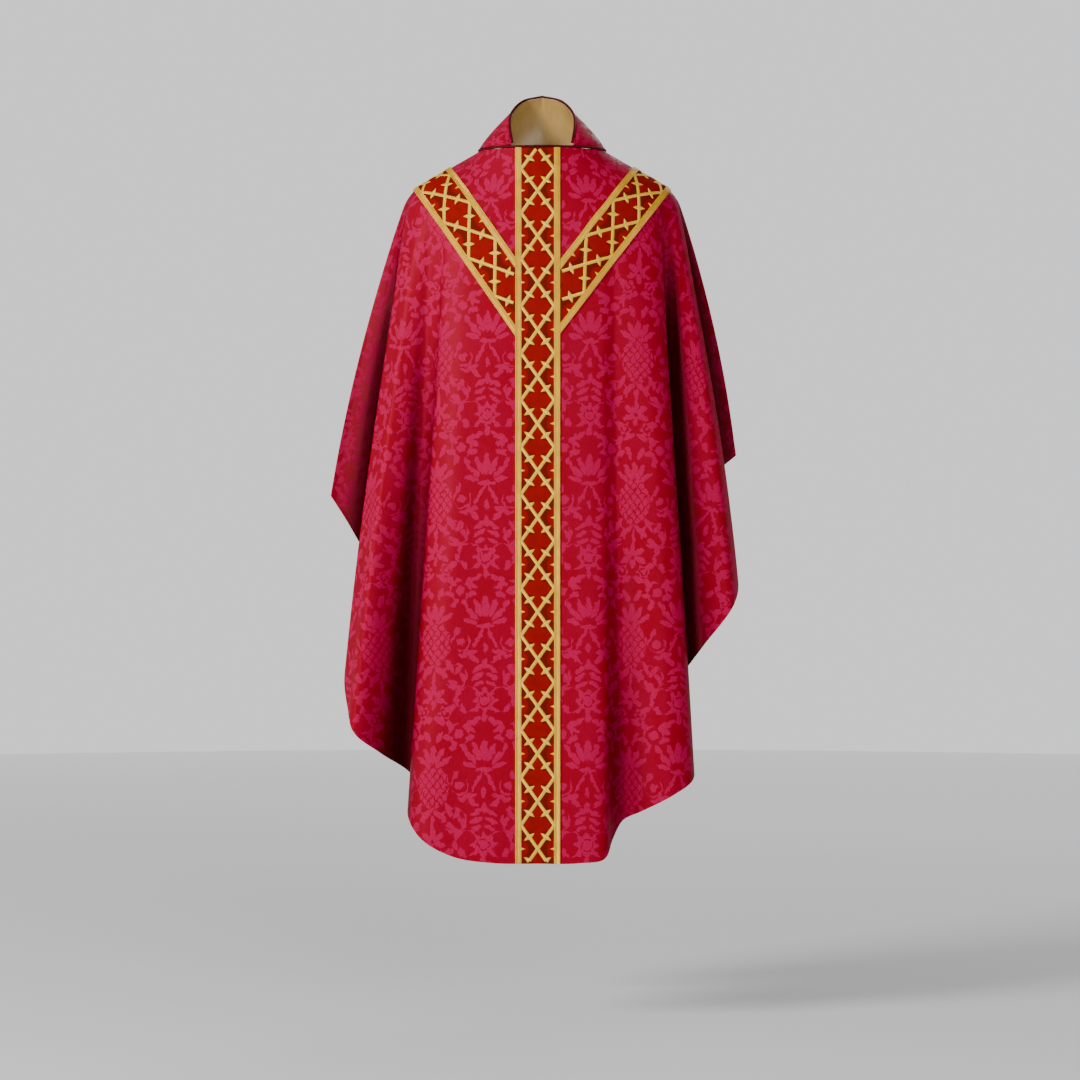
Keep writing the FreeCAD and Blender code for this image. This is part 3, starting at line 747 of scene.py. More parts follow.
def satin(name, light, shade):
    """Gold lining satin: long floats that shine along the cloth, with faint uneven threads."""
    material, tree, flat = start_material(name)
    thread = add(tree, "Mapping", flat, Scale=(0.9, 0.05, 1))
    thread = add(tree, "TexNoise", thread, Scale=1.0, Detail=3.0, **FLAT_NOISE)
    patch = add(tree, "TexNoise", flat, Scale=0.02, Detail=2.0, **FLAT_NOISE)
    patch = add(tree, "Math", patch, 0.5, operation="MULTIPLY")
    tone = add(tree, "Math", thread, 0.6, patch, operation="MULTIPLY_ADD", use_clamp=True)
    colour = add(tree, "Mix", tone, linear(shade), linear(light), **DYE)
    return finished(material, colour, thread, 0.0003, 0.5, Roughness=0.36, Sheen_Weight=0.1)


def canvas(name, light, shade):
    """Woven interfacing and tape: a plain open weave of undyed cotton."""
    material, tree, flat = start_material(name)
    half_mesh = 0.8
    over, under, _ = add(tree, "SeparateXYZ", flat).node.outputs
    over, under = (add(tree, "Math", way, half_mesh, operation="PINGPONG") for way in (over, under))
    weave = add(tree, "Math", over, under, operation="MULTIPLY")
    weave = add(tree, "Math", weave, 1.5, operation="MULTIPLY")
    slub = add(tree, "TexNoise", flat, Scale=0.3, Detail=3.0, **FLAT_NOISE)
    tone = add(tree, "Math", slub, 0.6, weave, operation="MULTIPLY_ADD", use_clamp=True)
    colour = add(tree, "Mix", tone, linear(shade), linear(light), **DYE)
    return finished(material, colour, weave, 0.0003, 0.6, Roughness=0.9)


def cord_cover(name, light, shade):
    """Piping: a cord covered with bias-cut satin, whose weave runs slantwise round it."""
    material, tree, flat = start_material(name)
    x, y, _ = add(tree, "SeparateXYZ", flat).node.outputs
    slant = add(tree, "Math", add(tree, "Math", x, y, operation="ADD"), 0.9, operation="PINGPONG")
    thread = add(tree, "TexNoise", flat, Scale=0.6, Detail=3.0, **FLAT_NOISE)
    thread = add(tree, "Math", thread, 0.7, operation="MULTIPLY")
    tone = add(tree, "Math", slant, 0.4, thread, operation="MULTIPLY_ADD", use_clamp=True)
    colour = add(tree, "Mix", tone, linear(shade), linear(light), **DYE)
    return finished(material, colour, slant, 0.0003, 0.5, Roughness=0.45, Specular_IOR_Level=0.12)


def finish_of(kind):
    """The one material of each finish, made when it is first asked for."""
    dyes = bpy.context.scene.chasuble_colours
    name, make, *colours = {
        "damask": (
            "silk_damask_crimson", damask,
            dyes.damask_ground, dyes.damask_figure, dyes.damask_deep, dyes.damask_fold_shade,
        ),
        "orphrey_velvet": ("velvet_brocade_red", brocade, "#700500", "#880300", "#4e0c00"),
        "gold_galloon": ("woven_gold_galloon", braid, dyes.gold_light, dyes.gold_shade),
        "gold_thread": ("satin_stitch_gold_thread", gold_thread, "#ffd02c", "#c98a10"),
        "lining": ("lining_satin_gold", satin, dyes.lining_light, dyes.lining_shade),
        "interfacing": ("cotton_interfacing", canvas, "#e6dcc6", "#a8987a"),
        "piping": ("bias_satin_piping", cord_cover, "#5e0308", "#300003"),
    }[kind]
    return bpy.data.materials.get(name) or make(name, *colours)


# ---------------------------------------------------------------- sizes and colours to change
def in_mm(name, description, default, least=0.0):
    return FloatProperty(name=name, description=description + ", in mm", default=default, min=least)


class ChasubleSizes(PropertyGroup):
    """Sizes of the cloth, trims and floor."""

    damask: in_mm("Damask", "Thickness of the damask", 1.6, 0.5)
    lining: in_mm("Lining", "Thickness of the lining", 1.0, 0.3)
    interfacing: in_mm("Interfacing", "Thickness of the stiffening", 0.7)
    layer_gap: in_mm("Layer gap", "Air between layers", 0.3)
    band: in_mm("Orphrey", "Thickness of the orphrey velvet", 1.0)
    band_width: in_mm("Orphrey width", "Width of an orphrey", 78.0)
    galloon_width: in_mm("Galloon width", "Width of the gold braid", 10.5)
    galloon: in_mm("Galloon", "Thickness of the gold braid", 1.2)
    lattice_pitch: in_mm("Lattice pitch", "Length of one diamond", 82.3)
    lattice_bar: in_mm("Lattice bar", "Width of a lattice bar", 5.6)
    thorn: in_mm("Thorn", "Length of a thorn on the lattice", 8.0)
    piping: in_mm("Piping", "Thickness of the piping cord", 4.0)
    columns: IntProperty(name="Columns", description="Columns of the cloth mesh", default=300, min=60)
    rows: IntProperty(name="Rows", description="Rows of the cloth mesh", default=108, min=30)
    floor_radius: FloatProperty(name="Floor", description="Radius of the floor", default=7.7, unit="LENGTH")


def colour_property(name, description, default):
    return StringProperty(name=name, description=description, default=default)


class ChasubleColours(PropertyGroup):
    """Colours as sRGB hex values."""

    damask_ground: colour_property("Damask ground", "Satin ground of the damask", "#98002f")
    damask_deep: colour_property("Damask shade", "Deeper threads of the ground", "#8a0018")
    damask_figure: colour_property("Damask figure", "Woven figure of the damask", "#a90a42")
    # painted shade: the colour that the damask is darkened to deep inside a fold
    damask_fold_shade: colour_property("Damask hollow", "Damask deep inside a fold", "#2e0002")
    # painted light and shade: a lit and a shaded gold, which the braid mixes partly by its relief
    gold_light: colour_property("Gold", "Lit gold thread", "#ffc71c")
    gold_shade: colour_property("Gold shade", "Deeper gold thread", "#b87a06")
    lining_light: colour_property("Lining", "Lit lining satin", "#c9a361")
    lining_shade: colour_property("Lining shade", "Deeper lining satin", "#94702c")


def heights():
    """Top and bottom of each layer over the middle of the damask, in mm."""
    sizes = bpy.context.scene.chasuble_sizes
    half, gap = sizes.damask / 2, sizes.layer_gap
    stiff = -half - gap
    lining = stiff - sizes.interfacing - gap
    band = half + gap
    trim = band + sizes.band + gap
    return {
        "damask": (half, -half),
        "interfacing": (stiff, stiff - sizes.interfacing),
        "lining": (lining, lining - sizes.lining),
        "band": (band + sizes.band, band),
        "trim": (trim + sizes.galloon, trim),
    }


SIDES = (("front", FRONT), ("back", BACK))
FOLD_REACH = 240.0             # how far off the next fold may be to hide a place, for the painted fold shade, in mm
LINING_MESH = (241, 80)
HEM_MESH = (300, 6)
HEM_DEPTH = 40.0
SEAM_INSET = 0.003             # how much sooner the inner layers end at the seams, as a share across
FOLD_SHADE_MESH = (150, 28)        # places along and down a panel where its painted fold shade is measured
FOLD_SHADE_RAYS = np.radians(np.linspace(-78, 78, 15))


def panel_layer(name, facing, layer, node, mesh, top=0.0, setback=0.0, start=0.0, roll=0.0):
    """One full layer of a panel; top and setback keep clear of the neck and the hem, in mm."""
    height, (columns, rows) = heights()[layer], mesh
    inset = SEAM_INSET if height[0] < 0 else 0.0
    across = np.linspace(inset, 1 - inset, columns)[:, None]
    length = fall_length(across, facing)
    first = 1 - start / length if start else top / length
    share = np.linspace(0, 1, rows)[None, :] ** (1.0 if start else 1.3)
    down = first + (1 - setback / length - first) * share
    across = np.broadcast_to(across, down.shape)
    face = np.full(down.shape, facing)
    middle, normal = cloth(across, down, face), outward(across, down, face)
    # inner layers lie closer to the damask beside the shoulder seams, where the cloth is creased
    tuck = 1.0
    if height[0] < 0:
        tuck = (0.45 + 0.55 * np.clip(np.minimum(across, 1 - across) / 0.02, 0, 1))[..., None]
    # the turned hem is a little thicker over its last centimetre
    left = np.clip(1 - (1 - down) * length / 10, 0, 1)[..., None]
    swell = roll * np.sqrt(np.maximum(0, 1 - (2 * left - 1) ** 2))
    outer = middle + normal * (height[0] * tuck + swell)
    inner = middle + normal * (height[1] * tuck - swell * 0.3)
    flat = on_the_cut(cut_flat(facing), across, down)
    piece = thin_piece(name, outer, inner, flat, finish_of(layer), node)
    # the damask's colour carries painted shade deep inside its folds
    if layer == "damask":
        paint_fold_shade(piece, middle, normal)
    return piece


def paint_fold_shade(piece, middle, normal):
    """Stores painted fold shade: how far each place is hidden inside a fold, from 0 in the open to nearly 1,
    which darkens the damask's colour.
    """

    def crossed(a, b):
        return a[..., 0] * b[..., 1] - a[..., 1] * b[..., 0]

    columns, rows = middle.shape[:2]
    i = np.linspace(0, columns - 1, FOLD_SHADE_MESH[0]).astype(int)
    j = np.linspace(0, rows - 1, FOLD_SHADE_MESH[1]).astype(int)
    weights = np.cos(FOLD_SHADE_RAYS)
    hidden = np.zeros(FOLD_SHADE_MESH)
    for k, row in enumerate(j):
        line, away = middle[i, row, :2], normal[i, row, :2]
        away = away / np.maximum(size_of(away), 1e-6)
        span = np.diff(line, axis=0)[None]
        gap = line[None, :-1] - (line + away * 2.0)[:, None]
        for angle, weight in zip(FOLD_SHADE_RAYS, weights):
            sine, cosine = math.sin(angle), math.cos(angle)
            ray = (away @ np.array([[cosine, sine], [-sine, cosine]]))[:, None]
            cross = crossed(ray, span)
            cross = np.where(np.abs(cross) < 1e-9, 1e-9, cross)
            reach, share = crossed(gap, span) / cross, crossed(gap, ray) / cross
            met = ((reach > 0) & (reach < FOLD_REACH) & (share >= 0) & (share <= 1)).any(axis=1)
            hidden[:, k] += met * weight / weights.sum()
    hidden = np.clip((hidden - 0.05) / 0.4, 0, 1) ** 0.9 * 0.95
    for _ in range(2):
        hidden[1:-1] = (hidden[2:] + 2 * hidden[1:-1] + hidden[:-2]) / 4
        hidden[:, 1:-1] = (hidden[:, 2:] + 2 * hidden[:, 1:-1] + hidden[:, :-2]) / 4
    across, down = np.meshgrid(np.linspace(0, 1, columns), np.linspace(0, 1, rows), indexing="ij")
    shade = sampled(hidden[..., None], across, down)[..., 0]
    attribute = piece.data.attributes.new("painted_fold_shade", "FLOAT", "POINT")
    attribute.data.foreach_set("value", np.concatenate([shade.ravel()] * 2).astype(np.float32))


DRAPE_MESH = (97, 57)          # of the trial cloth that settles
DRAPE_FRAMES = 14
DRAPE_MOST = 9.0               # the furthest that any place may settle, in mm
DRAPE_CLOTH = {                # a heavy lined silk
    "quality": 5,
    "mass": 0.35,
    "tension_stiffness": 20,
    "compression_stiffness": 12,
    "bending_stiffness": 2.0,
    "vertex_group_mass": "held",
    "pin_stiffness": 1.0,
}
SEAM_HOLD = 0.8                # how firmly the shoulder seams are held


class CHASUBLE_OT_drape(Operator):
    """Let the cloth of both panels settle a little under its own weight"""

    bl_idname = "chasuble.drape"
    bl_label = "Settle the cloth"

    def execute(self, context):
        columns, rows = DRAPE_MESH
        down = np.linspace(0, 1, rows)[None, :] ** 1.2
        rings = []
        for facing, across in ((FRONT, np.linspace(0, 1, columns)), (BACK, np.linspace(1, 0, columns)[1:-1])):
            rings.append(cloth(across[:, None], down, facing))
        places = np.concatenate(rings)
        around = len(places)
        i, j = np.meshgrid(np.arange(around), np.arange(rows - 1), indexing="ij")
        n = (i + 1) % around
        quads = np.stack([i * rows + j, i * rows + j + 1, n * rows + j + 1, n * rows + j], -1).reshape(-1, 4)
        mesh = bpy.data.meshes.new("settling")
        mesh.from_pydata((places.reshape(-1, 3) * MM).tolist(), [], quads.tolist())
        trial = bpy.data.objects.new("settling", mesh)
        context.scene.collection.objects.link(trial)
        held = trial.vertex_groups.new(name="held")
        for k in range(rows):
            weight = float(np.clip(1.3 - 3.2 * down[0, k], 0.0, 1.0))
            if weight > 0:
                held.add([c * rows + k for c in range(around)], weight, "REPLACE")
        seams = [c * rows + k for c in (0, columns - 1) for k in range(rows)]
        held.add(seams, SEAM_HOLD, "REPLACE")
        settings = trial.modifiers.new("Cloth", "CLOTH").settings
        for name, value in DRAPE_CLOTH.items():
            setattr(settings, name, value)
        depsgraph = context.evaluated_depsgraph_get()
        for number in range(1, DRAPE_FRAMES + 1):
            context.scene.frame_set(number)
        moved = np.empty(around * rows * 3, np.float32)
        trial.evaluated_get(depsgraph).data.vertices.foreach_get("co", moved)
        change = moved.reshape(around, rows, 3).astype(float) / MM - places
        context.scene.frame_set(1)
        bpy.data.objects.remove(trial)
        # a smooth limit, so that the cloth stays in the space of its collision shape
        for _ in range(2):
            change = (np.roll(change, 1, 0) + 2 * change + np.roll(change, -1, 0)) / 4
        change *= DRAPE_MOST / (DRAPE_MOST + size_of(change))
        wanted = np.linspace(0, 1, rows)
        even = np.empty_like(change)
        for c in range(around):
            for k in range(3):
                even[c, :, k] = np.interp(wanted, down[0], change[c, :, k])
        SETTLED[FRONT] = even[:columns]
        SETTLED[BACK] = np.concatenate([even[:1], even[columns:][::-1], even[columns - 1 : columns]])
        return {"FINISHED"}


class CHASUBLE_OT_panels(Operator):
    """Make the front and back panels of damask"""

    bl_idname = "chasuble.panels"
    bl_label = "Damask panels"

    def execute(self, context):
        sizes = context.scene.chasuble_sizes
        for side, facing in SIDES:
            piece = panel_layer(
                side + "_damask", facing, "damask", side + "_panel", (sizes.columns, sizes.rows), roll=0.5
            )
        return {"FINISHED"}


class CHASUBLE_OT_linings(Operator):
    """Make the satin linings and the stiffening inside the hems"""

    bl_idname = "chasuble.linings"
    bl_label = "Linings and hem interfacings"

    def execute(self, context):
        for side, facing in SIDES:
            lining = panel_layer(
                side + "_lining_satin", facing, "lining", side + "_lining", LINING_MESH, top=3, setback=8
            )
            stiff = panel_layer(
                side + "_hem_canvas", facing, "interfacing", side + "_hem_interfacing", HEM_MESH,
                setback=2, start=HEM_DEPTH,
            )
        return {"FINISHED"}


BANDS = []


def make_bands():
    """The four orphreys: name, band, names of its galloons, and how many places along it."""
    if BANDS:
        return BANDS
    width = bpy.context.scene.chasuble_sizes.band_width
    BANDS[:] = [
        ("front_pillar", Pillar(FRONT), ("right", "left"), 181),
        ("back_pillar", Pillar(BACK), ("right", "left"), 181),
        ("left_arm", Arm(1, width), ("upper", "lower"), 150),
        ("right_arm", Arm(-1, width), ("upper", "lower"), 150),
    ]
    return BANDS


def band_strip(name, band, edges, layer, node, slot, mesh, crown=0.0):
    """A strip of a band between two offsets across it, over its whole length."""
    height, (along_count, across_count) = heights()[layer], mesh
    across_mm = np.linspace(edges[0], edges[1], across_count)
    first, last = band.start(across_mm), band.end(across_mm)
    share = np.linspace(0, 1, along_count)[None, :]
    along = first[:, None] + (last - first)[:, None] * share
    across_mm = np.broadcast_to(across_mm[:, None], along.shape)
    rise = crown * np.sqrt(np.maximum(0, 1 - (2 * np.linspace(0, 1, across_count) - 1) ** 2))[:, None]
    outer = band.raised(along, across_mm, np.broadcast_to(height[0] - crown + rise, along.shape))
    inner = band.raised(along, across_mm, np.full(along.shape, height[1]))
    flat = np.stack([across_mm, along - band.crossing], axis=-1)
    piece = thin_piece(name, outer, inner, flat, finish_of(slot), node)
    return piece, float(np.mean(last - first)) * MM


class CHASUBLE_OT_orphreys(Operator):
    """Make the red velvet bands of the pillars and of the arms of the Y"""

    bl_idname = "chasuble.orphreys"
    bl_label = "Orphrey bands"

    def execute(self, context):
        half = context.scene.chasuble_sizes.band_width / 2
        for name, band, _, count in make_bands():
            piece, length = band_strip(
                name + "_velvet", band, (-half, half), "band", name + "_orphrey", "orphrey_velvet",
                (count, 21),
            )
        return {"FINISHED"}


class CHASUBLE_OT_galloons(Operator):
    """Make the gold braid along both edges of every orphrey"""

    bl_idname = "chasuble.galloons"
    bl_label = "Gold galloons"

    def execute(self, context):
        sizes = context.scene.chasuble_sizes
        half, width = sizes.band_width / 2, sizes.galloon_width
        for name, band, sides, count in make_bands():
            for side, edges in zip(sides, ((-half, width - half), (half - width, half))):
                piece, length = band_strip(
                    name + "_braid_" + side, band, edges, "trim", name + "_galloon_" + side, "gold_galloon",
                    (count, 7), crown=0.35,
                )
        return {"FINISHED"}


class Stitching:
    """Collects raised strokes of satin stitch on a band."""

    def __init__(self, band, low, high):
        self.band, self.low, self.high = band, low, high
        self.places, self.faces, self.flats = [], [], []
        self.count = 0

    def stroke(self, along, across_mm, widths, lift=1.0):
        """A domed stroke along a line of (along, across) places, with its width at each."""
        profile = np.array([-1.0, -0.6, 0.0, 0.6, 1.0])
        dome = np.array([0.0, 0.75, 1.0, 0.75, 0.0])
        line = np.stack([along, across_mm], axis=-1)
        ahead = np.gradient(line, axis=0)
        ahead /= size_of(ahead)
        side = np.stack([-ahead[:, 1], ahead[:, 0]], axis=-1)
        spots = line[None] + side[None] * (profile[:, None] * widths[None, :] / 2)[..., None]
        height = self.low + (self.high - self.low) * lift * dome[:, None] * np.ones_like(widths)[None]
        height = np.maximum(height, self.low + 0.05)
        top = self.band.raised(spots[..., 0], spots[..., 1], height)
        bottom = self.band.raised(spots[..., 0], spots[..., 1], np.full(height.shape, self.low))
        columns, rows = height.shape
        run = np.concatenate([[0], np.cumsum(size_of(np.diff(line, axis=0))[:, 0])])
        flat = np.stack(np.broadcast_arrays(profile[:, None] * widths[None] / 2, run[None]), axis=-1)
        along_way = top[2, 1] - top[2, 0]
        side_way = top[3, 0] - top[1, 0]
        turned = float(np.dot(np.cross(side_way, along_way), top[2, 0] - bottom[2, 0])) < 0
        self.faces.append(thin_faces(columns, rows, self.count, turned))
        self.places += [top.reshape(-1, 3), bottom.reshape(-1, 3)]
        self.flats += [flat.reshape(-1, 2)] * 2
        self.count += 2 * columns * rows


class CHASUBLE_OT_lattices(Operator):
    """Embroider the gold lattice with its thorns on every orphrey"""

    bl_idname = "chasuble.lattices"
    bl_label = "Gold lattices"

    def execute(self, context):
        sizes = context.scene.chasuble_sizes
        edge = sizes.band_width / 2 - sizes.galloon_width + 0.4
        pitch, width, thorn = sizes.lattice_pitch, sizes.lattice_bar, sizes.thorn
        low = heights()["band"][0] + 0.05
        high = heights()["trim"][1] + 0.8
        for name, band, _, _ in make_bands():
            work = Stitching(band, low, high)
            offsets = np.array([-edge, 0, edge])
            first, last = float(np.min(band.start(offsets))), float(np.max(band.end(offsets)))

            def kept(along, across_mm, margin):
                return (along > band.start(across_mm) + margin) & (along < band.end(across_mm) - margin)

            start = band.crossing - pitch * math.ceil((band.crossing - first) / pitch + 1) - pitch / 2
            while start < last:
                for sign in (1, -1):
                    share = np.linspace(0, 1, 41)
                    along = start + pitch * share
                    across_mm = sign * edge * (2 * share - 1)
                    inside = kept(along, across_mm, width / 2 + 0.3)
                    if inside.sum() > 3:
                        widths = np.full(inside.sum(), width)
                        work.stroke(along[inside], across_mm[inside], widths, lift=1.0 if sign > 0 else 0.85)
                    slope = np.array([pitch, sign * 2 * edge])
                    slope = slope / np.linalg.norm(slope)
                    square = np.array([-slope[1], slope[0]])
                    for share in (0.25, 0.75):
                        foot = np.array([start + pitch * share, sign * edge * (2 * share - 1)])
                        for way in (1, -1):
                            tip = foot + square * way * (width / 2 + thorn)
                            reach = np.linspace(0, 1, 5)
                            line = foot + (tip - foot) * reach[:, None]
                            taper = width * 1.5 * (1 - reach) ** 0.8 + 0.5
                            if kept(line[:, 0], line[:, 1], width / 2 + 1).all() and abs(tip[1]) < edge + 1:
                                work.stroke(line[:, 0], line[:, 1], taper, lift=0.95)
                # a thorn from each galloon, level with the crossing of the bars
                for side in (1, -1):
                    reach = np.linspace(0, 1, 4)
                    along = np.full(4, start + pitch / 2)
                    across_mm = side * (edge - reach * thorn * 0.9)
                    if kept(along, across_mm, width).all():
                        work.stroke(along, across_mm, width * 0.9 * (1 - reach) + 0.5, lift=0.85)
                start += pitch
            new_piece(
                name + "_gold_lattice", np.concatenate(work.places), np.concatenate(work.faces),
                np.concatenate(work.flats), finish_of("gold_thread"), name + "_lattice",
            )
        return {"FINISHED"}


# ---------------------------------------------------------------- collar, piping and tapes
# Points of the collar's edge: the angle on the neck ring below, then how far to the side, back and up
COLLAR_EDGE = np.array(
    [
        (28, -54, -68, 3),
        (58, -59, -36, 34),
        (92, -57, 6, 64),
        (134, -36, 45, 90),
        (180, 0, 60, 100),
    ],
    float,
)


def neck_ring(turn):
    """The neck seam; turn is 0 at the front centre and pi at the back centre."""
    cosine = np.cos(turn)
    x = BODY_CENTRE + NECK_HALF_WIDTH * np.sin(turn)
    return np.stack([x, -NECK_HALF_DEPTH * cosine, np.where(cosine < 0, BACK_RISE * cosine**2, 0.0)], axis=-1)


def collar_line(around, rise, inset, lift):
    """Places on the collar; around runs 0..1 from end to end, rise 0..1 from seam to edge."""
    around, rise = np.broadcast_arrays(np.asarray(around, float), np.asarray(rise, float))
    half = np.where(around <= 0.5, around * 2, 2 - around * 2)
    side = np.where(around <= 0.5, -1.0, 1.0)
    row = through(np.linspace(0, 1, len(COLLAR_EDGE)), COLLAR_EDGE, half)
    base = neck_ring(side * np.radians(row[..., 0]))
    base[..., 2] += lift
    top = np.stack([BODY_CENTRE - side * row[..., 1], row[..., 2], row[..., 3] + lift], axis=-1)
    inward = np.stack([BODY_CENTRE - top[..., 0], base[..., 1] * 0.3 - top[..., 1], 0 * half], axis=-1)
    inward /= size_of(inward)
    rise = rise[..., None]
    # the collar bows outwards a little between its seam and its edge
    bow = 4 * rise * (1 - rise) * 5.0
    return base * (1 - rise) + top * rise + inward * (inset - bow)


def tube(name, points, radius, material, node, closed):
    """A round covered cord along a line of points."""
    count, sides = len(points), 14
    if closed:
        ahead = np.roll(points, -1, 0) - np.roll(points, 1, 0)
    else:
        ahead = np.gradient(points, axis=0)
    ahead /= size_of(ahead)
    sideways = np.cross(ahead, (0, 0, 1))
    sideways /= size_of(sideways)
    upwards = np.cross(sideways, ahead)
    angle = np.linspace(0, 2 * np.pi, sides, endpoint=False)
    rings = points[:, None] + (
        sideways[:, None] * np.cos(angle)[None, :, None] + upwards[:, None] * np.sin(angle)[None, :, None]
    ) * radius
    run = np.concatenate([[0], np.cumsum(size_of(np.diff(points, axis=0))[:, 0])])
    around = np.broadcast_to((angle * radius)[None], (count, sides))
    flat = np.stack([around, np.broadcast_to(run[:, None], (count, sides))], axis=-1).reshape(-1, 2)
    places = rings.reshape(-1, 3)
    last = count if closed else count - 1
    i, j = np.meshgrid(np.arange(last), np.arange(sides), indexing="ij")
    n, m = (i + 1) % count, (j + 1) % sides
    faces = np.stack([i * sides + j, n * sides + j, n * sides + m, i * sides + m], -1).reshape(-1, 4)
    faces = list(faces[:, ::-1])
    if not closed:
        faces.append(np.arange(sides))
        faces.append((count - 1) * sides + np.arange(sides)[::-1])
    piece = new_piece(name, places, faces, flat, material, node)
    bpy.context.view_layer.objects.active = piece
    piece.select_set(True)
    bpy.ops.object.mode_set(mode="EDIT")
    bpy.ops.mesh.select_all(action="SELECT")
    bpy.ops.mesh.normals_make_consistent(inside=False)
    bpy.ops.object.mode_set(mode="OBJECT")
    piece.select_set(False)
    return piece


class CHASUBLE_OT_collar(Operator):
    """Make the collar: damask outside, a stiffening, and a satin lining"""

    bl_idname = "chasuble.collar"
    bl_label = "Collar"

    def execute(self, context):
        sizes = context.scene.chasuble_sizes
        stiff = sizes.damask + sizes.layer_gap
        lining = stiff + sizes.interfacing + sizes.layer_gap
        layers = (
            ("collar_damask", 0.0, sizes.damask, 0.0, "damask", "collar_outer"),
            ("collar_canvas", stiff, stiff + sizes.interfacing, 0.03, "interfacing", "collar_interfacing"),
            ("collar_satin", lining, lining + sizes.lining, 0.0, "lining", "collar_lining"),
        )
        for name, low, high, margin, slot, node in layers:
            around = np.linspace(margin, 1 - margin, 121)[:, None]
            rise = np.linspace(0.02, 1 - margin, 25)[None, :]
            lift = sizes.piping + 1
            outer = collar_line(around, rise, low, lift)
            inner = collar_line(around, rise, high, lift)
            run = np.concatenate([[0], np.cumsum(size_of(np.diff(outer[:, 12], axis=0))[:, 0])])
            reach = np.concatenate([[0], np.cumsum(size_of(np.diff(outer[60], axis=0))[:, 0])])
            flat = np.stack(np.broadcast_arrays(run[:, None] - run[-1] / 2, reach[None, :]), axis=-1)
            piece = thin_piece(name, outer, inner, flat, finish_of(slot), node)
        return {"FINISHED"}


class CHASUBLE_OT_pipings(Operator):
    """Make the piping round the neck seam and along the edge of the collar"""

    bl_idname = "chasuble.pipings"
    bl_label = "Pipings"

    def execute(self, context):
        sizes = context.scene.chasuble_sizes
        radius = sizes.piping / 2
        turns = np.linspace(-np.pi, np.pi, 160, endpoint=False)
        seam = neck_ring(turns) + (0, 0, radius + 1)
        tube("neck_cord", seam, radius, finish_of("piping"), "neck_piping", closed=True)
        depth = (sizes.damask + 2 * sizes.layer_gap + sizes.interfacing + sizes.lining) / 2
        line = collar_line(np.linspace(0, 1, 121), 1.0, depth, sizes.piping + 1) + (0, 0, radius + 0.3)
        tube("collar_cord", line, radius, finish_of("piping"), "collar_edge_piping", closed=False)
        return {"FINISHED"}


TAPE_SPAN = (0.03, 0.94)       # where a tape begins and ends, as shares of the shoulder seam
TAPE_HALF_WIDTH = 8.0


class CHASUBLE_OT_tapes(Operator):
    """Make the tapes inside the shoulder seams"""

    bl_idname = "chasuble.tapes"
    bl_label = "Shoulder seam tapes"

    def execute(self, context):
        high, low = heights()["interfacing"]
        down = np.linspace(*TAPE_SPAN, 60)[None, :]
        width = np.linspace(-TAPE_HALF_WIDTH, TAPE_HALF_WIDTH, 9)[:, None]
        for hand, seam, way in (("left", 1.0, -1), ("right", 0.0, 1)):
            # half the tape lies on the front panel and half on the back one
            near = np.linspace(0, 0.16, 120)[:, None]
            across, facing = [], []
            for offset in width[:, 0]:
                side = FRONT if offset < 0 else BACK
                line = cloth(seam + way * near, down, side)
                run = np.concatenate([0 * down, np.cumsum(size_of(np.diff(line, axis=0))[..., 0], axis=0)])
                share = [np.interp(max(abs(offset), 0.6), run[:, k], near[:, 0]) for k in range(down.shape[1])]
                across.append(seam + way * np.array(share))
                facing.append(np.full(down.shape[1], side))
            across, facing = np.array(across), np.array(facing)
            drop = np.broadcast_to(down, across.shape)
            middle, normal = cloth(across, drop, facing), outward(across, drop, facing)
            flat = np.stack(np.broadcast_arrays(width, drop * fall_length(seam, FRONT)), axis=-1)
            piece = thin_piece(
                hand + "_shoulder_tape", middle + normal * low, middle + normal * high, flat,
                finish_of("interfacing"), hand + "_shoulder_seam_tape",
            )
            length = float(fall_length(seam, FRONT)) * (TAPE_SPAN[1] - TAPE_SPAN[0]) * MM
        return {"FINISHED"}


# ---------------------------------------------------------------- floor, light and camera
AMBIENT = 0.26                 # light from all round, which fills the shadows of the folds
BACKDROP = 1.02                # how bright the backdrop itself looks
FLOOR_LEVEL = -1.546
FLOOR_PAINTED_GLOW = (0.14, 0.62)      # painted light: how strongly the floor glows, at one metre from the middle, and at the rim
LAMPS = (                      # name, place, aim, width in metres and power in watts
    ("key", (-4.2, -3.6, 2.0), (0, 0, -0.6), 1.8, 420),
    ("fill", (1.6, -5.6, 0.6), (0, 0, -0.7), 2.4, 120),
    ("rim", (1.8, 4.6, 2.4), (0, 0, -0.4), 2.6, 45),
)
CAMERA_PLACE = (0.004, -6.0, -0.692)
CAMERA_LENS = 112


